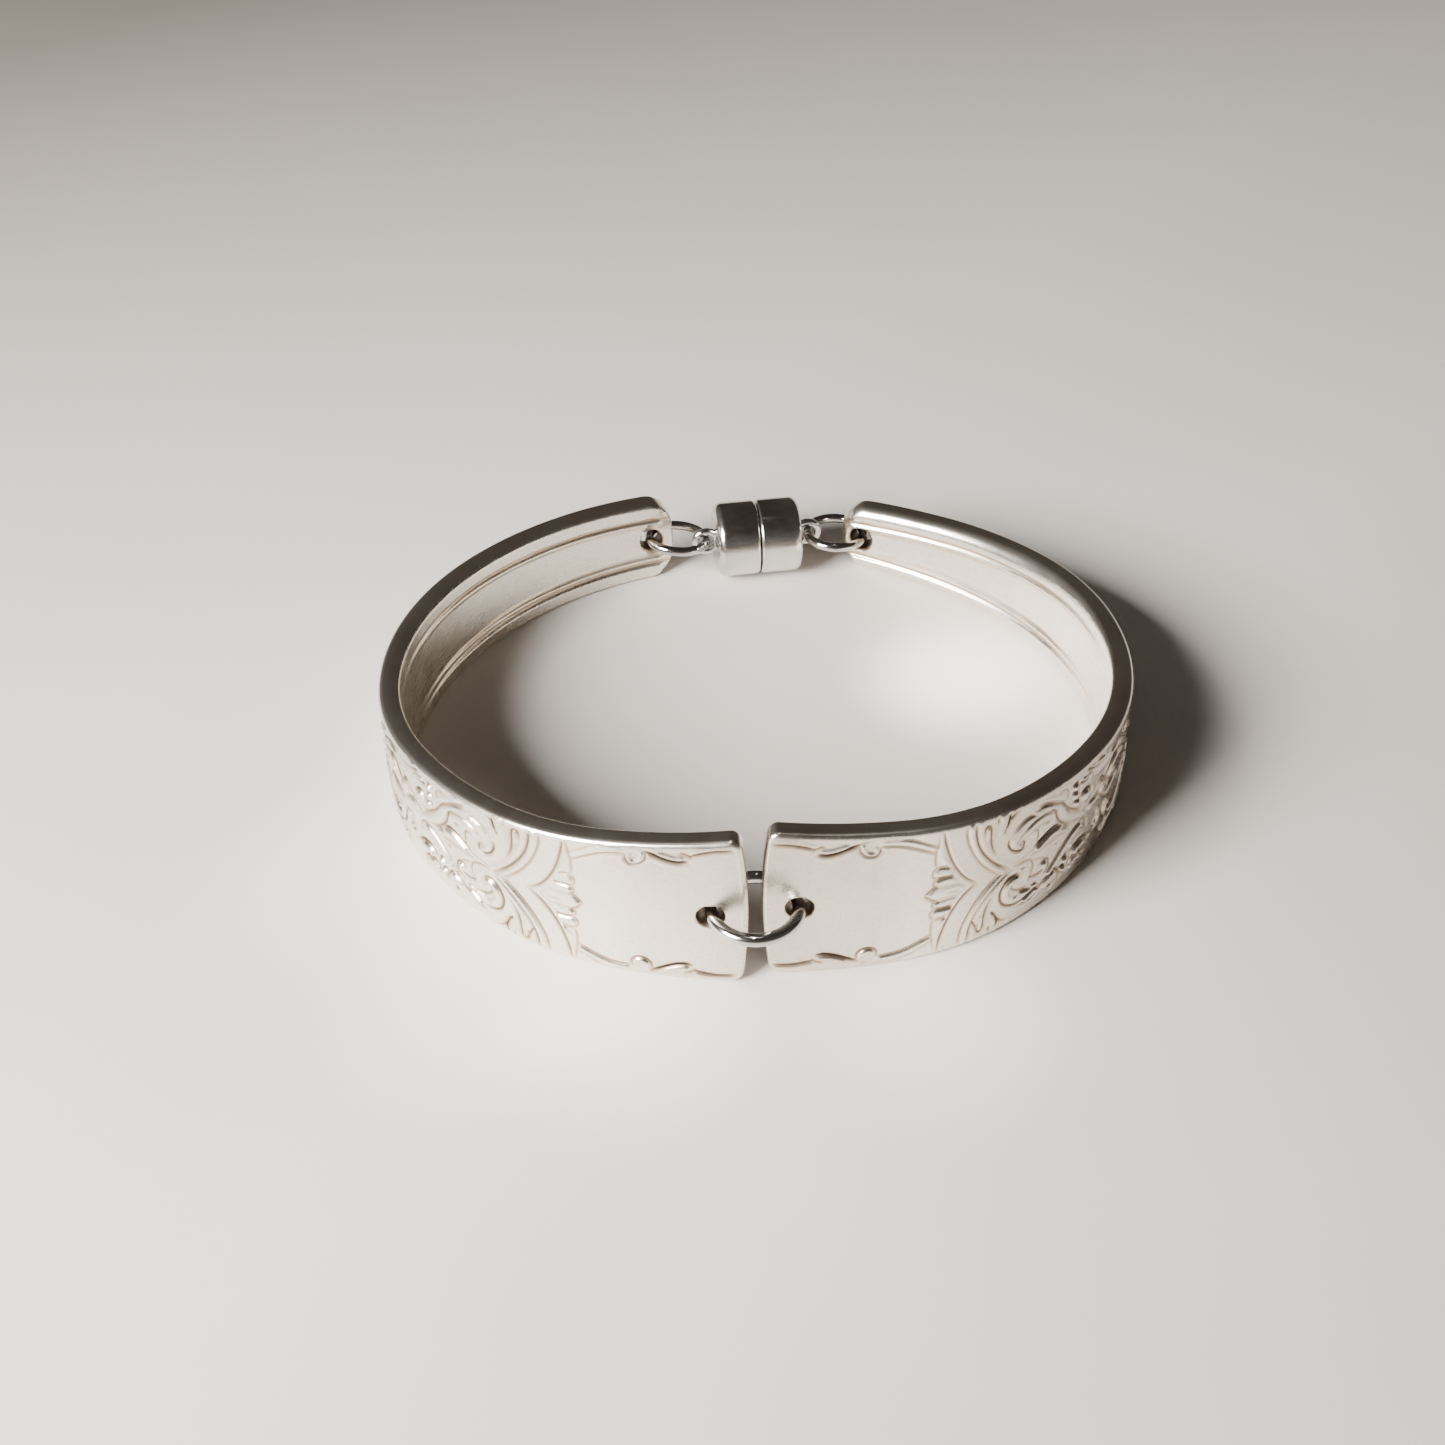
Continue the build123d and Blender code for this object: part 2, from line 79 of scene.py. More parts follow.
# Chased lines of the ornament, by the half of the handle that they are on: width and depth, then points as
# millimetres from the front end and from the middle line
LINES = {
    "both": {
        "border leaf": (0.24, 0.09, ((0.7, 6.2), (2.0, 6.2), (3.1, 5.97), (3.9, 5.7))),
        "border spur": (0.20, 0.06, ((3.65, 5.5), (4.0, 5.85), (4.6, 6.05))),
        "border s leaf": (0.30, 0.12, ((3.95, 5.2), (4.7, 5.12), (5.5, 5.3), (6.3, 5.65), (7.2, 6.05))),
        "border outer line": (0.18, 0.07, (
            (6.9, 5.95), (7.7, 6.28), (8.6, 6.4), (9.7, 6.3), (11.0, 5.95), (12.0, 5.4), (12.9, 4.95))),
        "border curl": (0.22, 0.11, (
            (7.05, 5.85), (7.12, 5.25), (7.55, 4.8), (8.2, 4.76), (8.6, 5.15), (8.5, 5.6))),
        "border inner line": (0.20, 0.09, (
            (8.45, 5.62), (9.5, 5.58), (10.6, 5.3), (11.8, 4.75), (12.8, 4.2))),
        "palmette middle lobe": (0.20, 0.09, ((12.1, 0.0), (12.42, 0.33), (12.76, 0.66), (13.15, 0.76))),
        "palmette lobe a": (0.18, 0.08, ((13.1, 0.78), (12.8, 0.95), (12.75, 1.2), (12.95, 1.5))),
        "palmette lobe b": (0.18, 0.08, ((12.95, 1.58), (12.7, 1.85), (12.66, 2.3), (12.95, 2.7))),
        "palmette long leaf": (0.20, 0.08, (
            (12.95, 2.78), (12.8, 3.3), (12.82, 4.3), (12.96, 5.1), (13.12, 6.2))),
        "palmette back": (0.24, 0.11, (
            (16.45, 0.0), (15.6, 0.68), (14.95, 1.5), (14.3, 2.7), (13.85, 3.9), (13.5, 5.2), (13.28, 6.4))),
        "palmette middle ray": (0.24, 0.07, ((13.8, 0.0), (14.4, 0.06), (15.0, 0.0))),
        "palmette ray": (0.26, 0.09, ((12.98, 1.53), (13.7, 1.66), (14.4, 1.6))),
        "palmette outer ray": (0.20, 0.07, ((12.98, 2.74), (13.5, 2.68), (13.95, 2.5))),
        "front bracket": (0.22, 0.09, (
            (15.15, 6.3), (15.28, 5.0), (15.62, 3.85), (16.25, 2.5), (17.1, 1.25), (18.3, 0.0))),
        "rear bracket": (0.26, 0.11, (
            (15.95, 6.2), (16.05, 4.9), (16.4, 3.6), (17.05, 2.4), (18.0, 1.2), (19.4, 0.0))),
        "edge drop": (0.18, 0.08, (
            (16.75, 4.6), (16.75, 5.2), (16.98, 5.55), (17.25, 5.2), (17.32, 4.2), (17.55, 3.1),
            (17.95, 2.3))),
        "edge tick": (0.24, 0.10, ((17.9, 6.2), (17.93, 5.4))),
        "crescent": (0.30, 0.12, ((30.0, 2.3), (30.5, 2.55), (31.1, 2.2), (31.4, 1.5), (31.1, 0.7))),
        "second scroll outside": (0.30, 0.12, (
            (32.0, 0.9), (31.7, 1.9), (32.2, 2.9), (33.3, 3.3), (34.6, 2.9), (35.9, 2.0), (37.3, 0.7))),
        "second scroll inside": (0.28, 0.11, (
            (33.2, 1.8), (32.8, 1.4), (32.5, 1.85), (32.9, 2.4), (33.9, 2.4), (35.0, 1.7), (36.1, 0.6))),
        "second bud": (0.26, 0.10, ((31.6, 0.0), (32.4, 0.45), (33.6, 0.7), (35.2, 0.1))),
        "second leaf": (0.28, 0.11, (
            (31.6, 4.6), (33.4, 4.3), (35.0, 3.5), (36.4, 2.5), (37.8, 1.3), (39.2, 0.3))),
        "last leaf": (0.26, 0.10, ((34.6, 4.6), (36.4, 3.9), (38.2, 2.8), (40.0, 1.3))),
    },
    "upper": {
        "finger": (0.24, 0.11, ((19.0, 6.2), (18.95, 5.2), (18.68, 4.4))),
        "finger end": (0.36, 0.11, ((18.52, 4.28), (18.76, 4.3))),
        "finger branch": (0.28, 0.10, ((19.0, 5.25), (19.5, 5.6), (20.1, 6.0))),
        "scroll": (0.26, 0.12, (
            (19.1, 3.1), (19.15, 2.5), (19.55, 1.85), (20.15, 1.5), (20.65, 1.65), (20.75, 2.05),
            (20.5, 2.35))),
        "scroll echo": (0.20, 0.07, ((19.5, 3.75), (20.1, 4.3), (21.0, 4.6), (21.8, 4.4))),
        "scroll inside": (0.26, 0.11, (
            (19.8, 2.6), (20.3, 3.0), (21.1, 3.65), (22.1, 3.97), (23.1, 3.9), (23.9, 3.5), (24.25, 2.7),
            (24.7, 1.9), (25.4, 1.2), (26.4, 0.6))),
        "ribbon": (0.24, 0.10, (
            (22.0, 5.1), (23.0, 4.75), (24.0, 4.2), (24.9, 3.6), (25.5, 2.9), (26.1, 2.3), (26.9, 1.7),
            (27.6, 1.3))),
        "ribbon echo": (0.20, 0.08, ((24.4, 5.05), (25.1, 4.85), (25.5, 4.4), (25.6, 3.8))),
        "edge line": (0.20, 0.07, ((24.4, 5.7), (25.2, 5.4), (25.9, 5.15))),
        "hook": (0.24, 0.09, ((21.6, 2.75), (22.0, 2.7), (22.25, 2.2), (22.2, 1.3))),
        "hook dot": (0.26, 0.08, ((23.0, 2.75), (23.5, 2.7))),
        "leaf": (0.34, 0.14, ((22.0, 0.95), (22.8, 1.42), (23.6, 1.7), (24.2, 1.7), (24.85, 1.45))),
        "leaf tail": (0.24, 0.09, ((24.7, 1.12), (25.4, 0.97), (26.2, 0.65))),
        "root": (0.18, 0.06, ((19.9, 0.35), (20.8, 0.48), (21.6, 0.75), (22.1, 1.05))),
        "middle vein": (0.24, 0.06, ((21.5, 0.2), (22.4, 0.24), (24.0, 0.2), (25.2, 0.24))),
        "bead line a": (0.26, 0.11, ((25.95, 4.6), (26.3, 4.76), (26.75, 4.7))),
        "bead line b": (0.26, 0.11, ((26.0, 3.75), (26.4, 3.9), (26.95, 3.8))),
        "bead line c": (0.28, 0.11, ((26.25, 2.8), (26.6, 2.95), (27.1, 2.8))),
        "dome line": (0.32, 0.14, ((27.3, 2.75), (27.6, 3.12), (28.2, 3.1), (28.75, 2.65), (28.85, 2.1))),
        "dome foot": (0.20, 0.08, ((27.1, 1.4), (27.5, 1.45), (27.9, 1.7))),
        "petal a": (0.32, 0.14, ((27.1, 4.25), (27.7, 4.2), (28.4, 4.15))),
        "petal b": (0.30, 0.12, ((28.0, 5.1), (28.5, 4.8), (29.4, 4.58), (30.9, 4.45))),
        "petal c": (0.20, 0.08, ((28.1, 5.3), (28.8, 5.5), (29.5, 5.3), (30.3, 5.0))),
        "sweep a": (0.24, 0.09, ((28.3, 0.75), (29.0, 1.15), (29.9, 1.1), (31.2, 0.5))),
        "sweep b": (0.24, 0.09, ((29.0, 1.6), (30.0, 2.0), (31.2, 2.8), (32.4, 3.7))),
    },
    "lower": {
        "fingers": (0.26, 0.11, ((18.0, 3.85), (18.35, 4.4), (18.62, 5.15), (18.35, 5.65))),
        "finger branch": (0.24, 0.08, ((18.5, 4.7), (19.0, 5.25), (19.6, 5.55))),
        "drop": (0.30, 0.11, ((16.1, 4.1), (16.42, 4.35), (16.65, 4.95))),
        "root": (0.24, 0.09, (
            (19.9, 0.0), (20.8, 0.0), (21.45, 0.18), (21.87, 0.6), (22.0, 1.2), (21.8, 1.9))),
        "branch": (0.20, 0.07, ((22.0, 0.4), (22.6, 0.68), (23.3, 0.95))),
        "hook": (0.26, 0.10, ((21.4, 1.95), (22.0, 2.22), (22.7, 2.3), (23.3, 2.18))),
        "curl": (0.24, 0.11, (
            (22.7, 1.38), (23.15, 1.15), (23.62, 1.3), (23.87, 1.85), (23.7, 2.4), (23.1, 2.8))),
        "scroll": (0.26, 0.12, (
            (20.6, 1.3), (20.25, 0.98), (19.6, 1.05), (19.0, 1.65), (18.76, 2.5), (18.95, 3.4), (19.5, 3.97),
            (20.3, 4.15), (21.0, 4.03), (21.6, 3.65), (22.3, 3.4), (22.95, 3.7))),
        "scroll inside": (0.22, 0.10, (
            (20.5, 1.68), (20.0, 1.62), (19.76, 2.05), (20.15, 2.6), (20.9, 3.0), (21.9, 3.2))),
        "scroll fold": (0.18, 0.06, ((19.8, 3.76), (20.3, 3.65), (20.7, 3.32))),
        "leaf": (0.28, 0.12, (
            (20.8, 4.7), (21.8, 4.63), (22.7, 4.2), (23.3, 3.6), (24.0, 3.15), (24.6, 3.1), (25.1, 3.5),
            (25.7, 4.3))),
        "leaf vein": (0.20, 0.08, ((24.2, 4.05), (25.0, 3.95), (25.5, 4.45))),
        "leaf pit": (0.34, 0.13, ((24.1, 4.7), (24.55, 4.65))),
        "band edge": (0.22, 0.09, (
            (23.5, 2.75), (24.3, 2.0), (25.2, 1.1), (26.1, 0.45), (27.0, 0.12), (27.9, 0.05), (28.6, 0.5),
            (28.85, 1.4))),
        "band inside": (0.20, 0.07, ((24.6, 2.7), (25.3, 1.9), (26.2, 1.3), (27.1, 0.95))),
        "bead line a": (0.30, 0.13, ((25.6, 2.65), (25.92, 2.45), (26.3, 2.6))),
        "bead line b": (0.34, 0.14, ((25.35, 3.55), (25.65, 3.4), (26.15, 3.42))),
        "bead line c": (0.26, 0.11, ((26.35, 3.2), (26.55, 3.6), (26.35, 4.3))),
        "dome line": (0.34, 0.14, ((26.7, 2.7), (27.2, 2.3), (27.9, 2.2), (28.7, 2.4), (29.5, 2.9))),
        "dome under": (0.30, 0.12, ((26.75, 3.5), (27.3, 3.4), (28.0, 3.6), (28.8, 4.1))),
        "tick": (0.24, 0.09, ((24.4, 0.3), (24.75, 0.42))),
    },
}

# Raised forms in the same way: width and rise, then points
FORMS = {
    "both": {
        "border leaf": (0.60, 0.06, ((1.0, 6.5), (2.5, 6.45), (3.8, 6.15))),
        "border s leaf": (0.60, 0.10, ((4.3, 5.55), (5.1, 5.58), (6.2, 5.98))),
        "border curl": (0.45, 0.13, (
            (7.3, 5.9), (7.38, 5.35), (7.7, 5.05), (8.1, 5.03), (8.33, 5.3), (8.25, 5.65))),
        "border band": (0.60, 0.09, ((8.8, 5.98), (10.3, 5.85), (11.7, 5.3), (12.85, 4.62))),
        "palmette middle lobe": (1.30, 0.13, ((15.2, 0.0), (13.9, 0.0), (12.55, 0.0))),
        "palmette lobe a": (0.75, 0.12, ((14.6, 0.95), (13.8, 1.12), (12.98, 1.13))),
        "palmette lobe b": (0.90, 0.12, ((14.2, 1.95), (13.5, 2.12), (12.88, 2.12))),
        "palmette long leaf": (0.55, 0.12, ((13.85, 2.9), (13.35, 3.6), (13.15, 4.6), (13.18, 6.1))),
        "bracket": (0.65, 0.13, (
            (15.55, 6.3), (15.65, 5.0), (16.0, 3.75), (16.65, 2.45), (17.55, 1.25), (18.85, 0.0))),
        "bracket echo": (0.55, 0.07, (
            (16.4, 6.2), (16.45, 5.0), (16.8, 3.7), (17.45, 2.5), (18.4, 1.3), (19.8, 0.2))),
        "edge drop": (0.45, 0.10, ((17.0, 5.25), (17.02, 4.7), (17.12, 4.0))),
        "edge finger": (0.80, 0.10, ((18.4, 6.1), (18.35, 5.2), (18.2, 4.2))),
        "crescent": (0.80, 0.16, ((30.1, 2.0), (30.6, 2.05), (30.9, 1.5), (30.6, 0.9))),
        "second scroll": (1.00, 0.18, (
            (33.0, 2.0), (32.7, 1.6), (32.2, 1.9), (32.2, 2.5), (33.0, 2.9), (34.3, 2.6), (35.6, 1.8),
            (36.9, 0.6))),
        "second bud": (0.90, 0.14, ((31.8, 0.0), (33.0, 0.2), (34.6, 0.1))),
        "second leaf": (0.90, 0.15, ((32.0, 4.1), (33.6, 3.8), (35.0, 3.0), (36.6, 1.9), (38.2, 0.7))),
        "last leaf": (0.90, 0.13, ((35.0, 4.2), (36.6, 3.5), (38.2, 2.4), (40.0, 1.0))),
    },
    "upper": {
        "great scroll": (1.00, 0.18, (
            (20.25, 2.0), (19.75, 2.2), (19.65, 2.85), (20.2, 3.6), (21.3, 4.25), (22.7, 4.35), (23.9, 3.95),
            (24.7, 3.1), (25.2, 2.3), (25.9, 1.6), (26.9, 1.0), (28.0, 0.6))),
        "inner scroll": (0.90, 0.12, ((20.8, 2.75), (21.6, 3.25), (22.7, 3.35), (23.6, 3.05), (23.9, 2.3))),
        "leaf": (1.00, 0.18, ((22.2, 0.6), (23.3, 0.98), (24.3, 1.02), (25.6, 0.6))),
        "edge ribbon": (0.70, 0.13, ((22.6, 5.4), (24.0, 4.75), (25.2, 4.0))),
        "petal a": (0.50, 0.13, ((27.2, 4.6), (27.9, 4.5), (28.5, 4.4))),
        "petal b": (0.50, 0.13, ((28.5, 5.12), (29.4, 4.92), (30.8, 4.75))),
        "petal c": (0.90, 0.12, ((29.2, 3.9), (30.6, 3.7), (31.8, 4.1))),
        "sweep": (0.80, 0.14, ((28.8, 0.5), (29.8, 0.75), (31.0, 0.1))),
    },
    "lower": {
        "great scroll": (0.85, 0.18, (
            (20.35, 1.32), (19.75, 1.4), (19.3, 2.0), (19.25, 2.8), (19.7, 3.45), (20.5, 3.6), (21.3, 3.4),
            (22.4, 3.1))),
        "leaf": (0.70, 0.17, ((21.2, 4.3), (21.9, 4.05), (22.6, 3.85))),
        "inner leaf": (0.80, 0.12, ((20.6, 0.7), (21.3, 1.1), (21.2, 2.2), (20.7, 2.4))),
        "second leaf": (0.70, 0.14, ((23.4, 4.3), (24.2, 3.55), (25.0, 3.8))),
        "band": (0.60, 0.16, (
            (23.7, 3.0), (24.6, 2.2), (25.5, 1.4), (26.5, 0.75), (27.5, 0.45), (28.2, 0.9))),
        "dome": (0.90, 0.20, ((27.15, 2.95), (27.9, 2.75), (28.8, 2.95))),
        "second dome": (0.60, 0.14, ((26.9, 3.95), (27.7, 3.95), (28.6, 4.4))),
    },
}

# The left handle's ornament, struck a little apart from the right one's: how far back it lies, where it goes
# further back, over what length and by how much, in millimetres, and how much taller it is
LEFT_BACK = 0.3
LEFT_FURTHER_START = 14.0
LEFT_FURTHER_LENGTH = 6.0
LEFT_FURTHER = 0.65
LEFT_TALLER = 1.03

# Lines that the tarnish has spread from
STAINED = ("border leaf", "border s leaf", "border spur", "edge drop", "fingers", "finger")

# How strongly the forms rise, the lines are cut and their lips stand up
RISE = 1.1
CUT = 1.1
LIP = 0.35

# How full a raised form's rounding is
FORM_PROFILE = 1.25

# How far from a line its cut, lips and stain are worked out, in millimetres
LINE_REACH = 1.0

# Shape of a chased line across, as shares of its width: its core, its shoulder and the lip beside it
CORE = 0.42
SHOULDER = 1.1
LIP_PLACE = 1.15
LIP_SPREAD = 0.5
SHOULDER_SHARE = 0.3

# Lips stand up only where the surface is cut less than this, in millimetres
LIP_CLEAR = 0.03

# How far a stain spreads from its line, in millimetres, and over what share of the line it fades at an end
STAIN_SPREAD = 0.40
STAIN_FADE = 0.3

# Share of the worn edge's rounding that the relief keeps clear of
RELIEF_CLEAR = 0.4

# Beads: half, radius, rise and place
BEADS = (
    ("upper", 0.36, 0.17, (26.4, 4.28)),
    ("upper", 0.38, 0.17, (26.5, 3.4)),
    ("upper", 0.38, 0.17, (26.8, 2.45)),
    ("upper", 0.72, 0.22, (28.08, 2.4)),
    ("lower", 0.38, 0.18, (23.2, 1.7)),
    ("lower", 0.38, 0.18, (25.95, 2.95)),
    ("lower", 0.34, 0.17, (25.82, 3.85)),
    ("lower", 0.34, 0.15, (26.75, 4.2)),
    ("lower", 0.34, 0.14, (26.5, 1.75)),
    ("upper", 0.30, 0.12, (20.2, 1.95)),
)

# Tarnish in the ornament: the most of it in a line, the depth in millimetres at which a line holds it all,
# how it gathers in the deeper ones, and what hollows and stains add
LINE_TARNISH = 0.9
LINE_DEPTH = 0.14
LINE_GATHERING = 1.8
HOLLOW_TARNISH = 0.35
HOLLOW_DEPTH = 0.15
HOLLOW_BLUR = 40
STAIN_TARNISH = 0.35
DRILLED_TARNISH = 1.1

# Threads inside: how full the thin one's rounding is, its rise as a share of the band's, and how far before
# the tip they end and over what length, in millimetres
THREAD_PROFILE = 0.6
THIN_THREAD_SHARE = 0.8
THREAD_STOP = 1.0
THREAD_STOP_LENGTH = 0.6

# Tarnish between and beyond the threads: the most of it, the share beyond, how far beyond it lies and both
# spreads in millimetres
THREAD_TARNISH = 0.6
BEYOND_SHARE = 0.7
BEYOND_PLACE = 0.06
BETWEEN_SPREAD = 0.17
BEYOND_SPREAD = 0.16

# Where the inner edges' rounding starts to grow and over what stretch, as shares of the handle's length
INNER_ROUND_START = 0.5
INNER_ROUND_STRETCH = 0.25

# Unevenness of the hammered and worn faces: half its height in millimetres, how fast its waves turn along
# and up the handle, in radians in a metre, and where they start
UNEVEN = 0.03
UNEVEN_ALONG = 410
UNEVEN_UP = 350
UNEVEN_START = 1.3

# Where the thin film of tarnish and the right half's painted shade on a handle fade in and out, as shares of
# the handle's length
PLAIN_FADE = (0.135, 0.10)
CHASED_START = (0.15, 0.24)
CHASED_END = (0.46, 0.52)

# Clouds of noise: how many there are in a metre, their detail, their roughness, and the two limits between
# which they come out
VEIL_CLOUD = (90.0, 4.0, 0.55, 0.42, 0.75)
SPECK_CLOUD = (1400.0, 3.0, 0.6, 0.55, 0.75)
WIRE_CLOUD = (300.0, 3.0, 0.5, 0.35, 0.7)
CLASP_CLOUD = (220.0, 4.0, 0.5, 0.35, 0.65)
FLOOR_CLOUD = (40.0, 5.0, 0.5, 0.3, 0.7)

# Distance right of the middle over which the films grow to the right half's, whose extra is painted shade, in
# millimetres
RIGHT_SHADE_GROWTH = 20

# Strength of each film: cloudy, in specks, and on the plain and chased stretches with the right half's share
# of painted shade
VEIL_FILM = 0.22
SPECK_FILM = 0.10
PLAIN_FILM_AND_SHADE = (0.17, 0.06)
CHASED_FILM_AND_SHADE = (0.03, 0.25)

# Tarnish at which each colour has fully taken over from the one before: first and last trace
STAIN_RANGE = (0.04, 0.40)
BROWN_RANGE = (0.35, 0.85)
SOOT_RANGE = (0.65, 1.25)

# Roughness of the silver, what tarnish adds to it, what the polished rims take away, and the share of the
# scratches that is polished away there
SILVER_ROUGHNESS = 0.27
TARNISH_ROUGHNESS = 0.18
RIM_POLISH = 0.05
RIM_SCRATCHES_GONE = 0.9

# Handling marks: how many scratches along, scratches across and smudges there are in a metre in each
# direction, the share of those along, and how rough scratches and smudges are
ALONG_SCRATCHES = (400, 9000, 9000)
ACROSS_SCRATCHES = (6000, 900, 6000)
SMUDGES = (220, 220, 220)
ALONG_SHARE = 0.7
SCRATCH_ROUGHNESS = 0.25
SMUDGE_ROUGHNESS = 0.30

# Smudges on the silver, and how deep its scratches look, in millimetres
SILVER_SMUDGES = 0.5
SILVER_SCRATCH_DEPTH = 0.004

# Finish of both bright metals: clouds, the dullest colour's share of the full one, roughness, scratches,
# smudges and how deep the scratches look, in millimetres
WIRE_FINISH = (WIRE_CLOUD, 0.70, 0.12, 0.6, 0.4, 0.003)
CLASP_FINISH = (CLASP_CLOUD, 0.72, 0.17, 1.3, 0.9, 0.006)

# Finish of the board, and the dullest colour's share of the full one
FLOOR_ROUGHNESS = 0.55
FLOOR_SHINE = 0.3
FLOOR_DULLEST = 0.97

# Painted shade on the board, darker away from the window: direction as shares of x and y, the distances along
# it between which the shade deepens, in millimetres, and its depth
PAINTED_FLOOR_SHADES = (
    (0, 1, -45, 0, 0.13),
    (0, 1, 20, 180, 0.22),
    (-1, 1, 60, 260, 0.41),
    (1, -1, 20, 100, 0.25),
)
# Colour towards which the painted shade darkens the board
PAINTED_SHADE_COLOUR = (0.03, 0.018, 0.0, 1)

# Painted shadow of the bracelet's walls on the board inside it: half its width and depth, the share over
# which it fades in, its least depth of shade, and what it gains towards the front and the left
INSIDE_REACH = (28.0, 27.0)
INSIDE_FADE = 0.35
PAINTED_INSIDE_SHADE = 0.04
INSIDE_GAINS = (
    (0, 1, 12, -12, 0.09),
    (1, 0, 0, -20, 0.12),
)

# The dim room: its own colour, that of its lit sides, how bright those on the left and in front are, and the
# parts of a direction between which each comes in
ROOM_COLOUR = (0.060, 0.050, 0.043, 1)
LIT_COLOUR = (1.0, 0.98, 0.95, 1)
LEFT_LIGHT = 0.14
FRONT_LIGHT = 0.12
LEFT_RANGE = (-0.15, -0.75)
FRONT_RANGE = (0.1, -0.6)
LOW_RANGE = (0.75, 0.25)

# The window: place in millimetres, side of its square, power in watts and colour
WINDOW_PLACE = (-300.0, -225.0, 240.0)
WINDOW_SIDE = 200.0
WINDOW_POWER = 8.6
WINDOW_COLOUR = (1.0, 0.97, 0.94)

# Light that the polished faces throw on the floor: name, place and radius in millimetres, and power
GLOWS = (
    ("glow inside right", 17.5, 9.0, 9.0, 16.0),
    ("glow inside back", 8.0, 15.0, 9.0, 0.5),
    ("glow left", -31.0, -16.0, 13.0, 3.0),
    ("glow front left", -20.0, -28.0, 13.0, 4.4),
    ("glow front", -9.0, -31.0, 11.0, 4.6),
    ("glow front right", 12.5, -30.0, 11.5, 3.6),
)
GLOW_HEIGHT = 350.0
GLOW_SIZE = 4.0
GLOW_COLOUR = (1.0, 0.985, 0.96)

# Parts round the barrel, in the rounding of its lip and of its rim, and round the eye and its wire
BARREL_PARTS = 128
LIP_PARTS = 6
RIM_PARTS = 10
EYE_PARTS = 64
WIRE_PARTS = 24

# Width of the flat ring round each of the barrel's caps, in millimetres
CAP_RING = 0.1

# The camera's sensor in millimetres, and the nearest and furthest that it sees, in metres
SENSOR_WIDTH = 36.0
SIGHT = (0.005, 10.0)


def length_property(name, description, millimetres):
    return bpy.props.FloatProperty(
        name=name, description=description, default=millimetres * MM, min=0.0, unit="LENGTH", precision=5
    )


def angle_property(name, description, degrees):
    return bpy.props.FloatProperty(
        name=name, description=description, default=radians(degrees), unit="ROTATION"
    )


def colour_property(name, description, rgb):
    return bpy.props.FloatVectorProperty(
        name=name, description=description, default=rgb, size=3, min=0.0, max=1.0, subtype="COLOR"
    )


class BraceletSizes(bpy.types.PropertyGroup):
    """Sizes of the bracelet's pieces"""

    bar_length: length_property("Handle length", "Along the outer face, from the front end to the tip", 82.5)
    front_height: length_property("Front height", "Height of a handle at its wide front end", 14.5)
    middle_height: length_property("Middle height", "Height of a handle half way", 10.4)
    right_tip_height: length_property("Right tip height", "Height of the right handle at its narrow tip", 6.6)
    left_tip_height: length_property("Left tip height", "Height of the left handle at its narrow tip", 8.0)
    front_thickness: length_property("Front thickness", "Plate thickness at the front end", 1.6)
    tip_thickness: length_property("Tip thickness", "Plate thickness at the tip", 1.9)
    outer_round: length_property("Outer rounding", "Radius of the worn edges of the outer face", 0.45)
    inner_round: length_property("Inner rounding", "Radius of the worn edges of the inner face", 0.32)
    right_tip_round: length_property("Right tip rounding", "The same at the right handle's tip", 1.15)
    left_tip_round: length_property("Left tip rounding", "The same at the left handle's tip", 0.40)
    front_gap: length_property("Front gap", "Gap between the two front ends", 0.9)
    right_step: length_property("Right step", "How far the right face lies before the ring's centre", 0.2)
    left_step: length_property("Left step", "How far the left face lies before the ring's centre", 1.05)
    front_bulge: length_property("Front bulge", "How far the front end bows out", 0.5)
    front_corner: length_property("Front corner", "Radius of the front end's corners", 1.0)
    tip_bulge: length_property("Tip bulge", "How far the tip bows out", 0.6)
    tip_corner: length_property("Tip corner", "Radius of the tip's corners", 2.2)
    bow_fade: length_property("Bow fade", "Length over which the bow of an end dies out", 6.0)
    hole_radius: length_property("Hole radius", "Radius of the holes at both ends", 1.05)
    front_hole_inset: length_property("Front hole inset", "From the front end to the hole's centre", 2.8)
    front_hole_drop: length_property("Front hole drop", "How far the front hole is below mid height", 0.16)
    tip_hole_inset: length_property("Tip hole inset", "From the tip to the hole's centre", 2.25)
    front_hole_bevel: length_property("Front hole bevel", "Bevel round the front hole", 0.12)
    tip_hole_bevel: length_property("Tip hole bevel", "Bevel round the tip hole", 0.3)
    thread_start: length_property("Thread start", "Where the raised threads inside begin", 41.0)
    thread_fade: length_property("Thread fade", "Length over which the threads grow to their full rise", 18.0)
    thread_rise: length_property("Thread rise", "Height of the threads inside", 0.26)
    thread_band: length_property("Thread band", "Width of the raised band along each inner edge", 1.55)
    thread_edge: length_property("Thread edge", "Width of the slope beside the raised band", 0.2)
    thread_line: length_property("Thread line", "From the edge to the middle of the thin thread", 2.05)
    thread_width: length_property("Thread width", "Width of the thin thread", 0.5)
    rear_ring_radius: length_property("Rear rings", "Radius to the middle of a rear ring's wire", 2.65)
    clasp_radius: length_property("Clasp radius", "Radius of the barrel clasp", 3.45)
    clasp_length: length_property("Clasp length", "Length of the shut barrel clasp", 7.9)
    clasp_seam: length_property("Clasp seam", "Gap between the clasp's halves", 0.1)
    clasp_rim: length_property("Clasp rim", "Rounding at the clasp's outer ends", 0.8)
    clasp_lip: length_property("Clasp lip", "Rounding of both lips at the clasp's seam", 0.3)
    clasp_lift: length_property("Clasp lift", "Air under the clasp", 0.1)
    clasp_turn: angle_property("Clasp turn", "How far the clasp is off the line between the tips", 6.0)
    eye_radius: length_property("Eye radius", "Radius to the middle of the eye's wire", 1.05)
    eye_wire: length_property("Eye wire", "Thickness of the eye's wire", 0.7)
    eye_standoff: length_property("Eye standoff", "From the clasp's end to the eye's centre", 0.8)


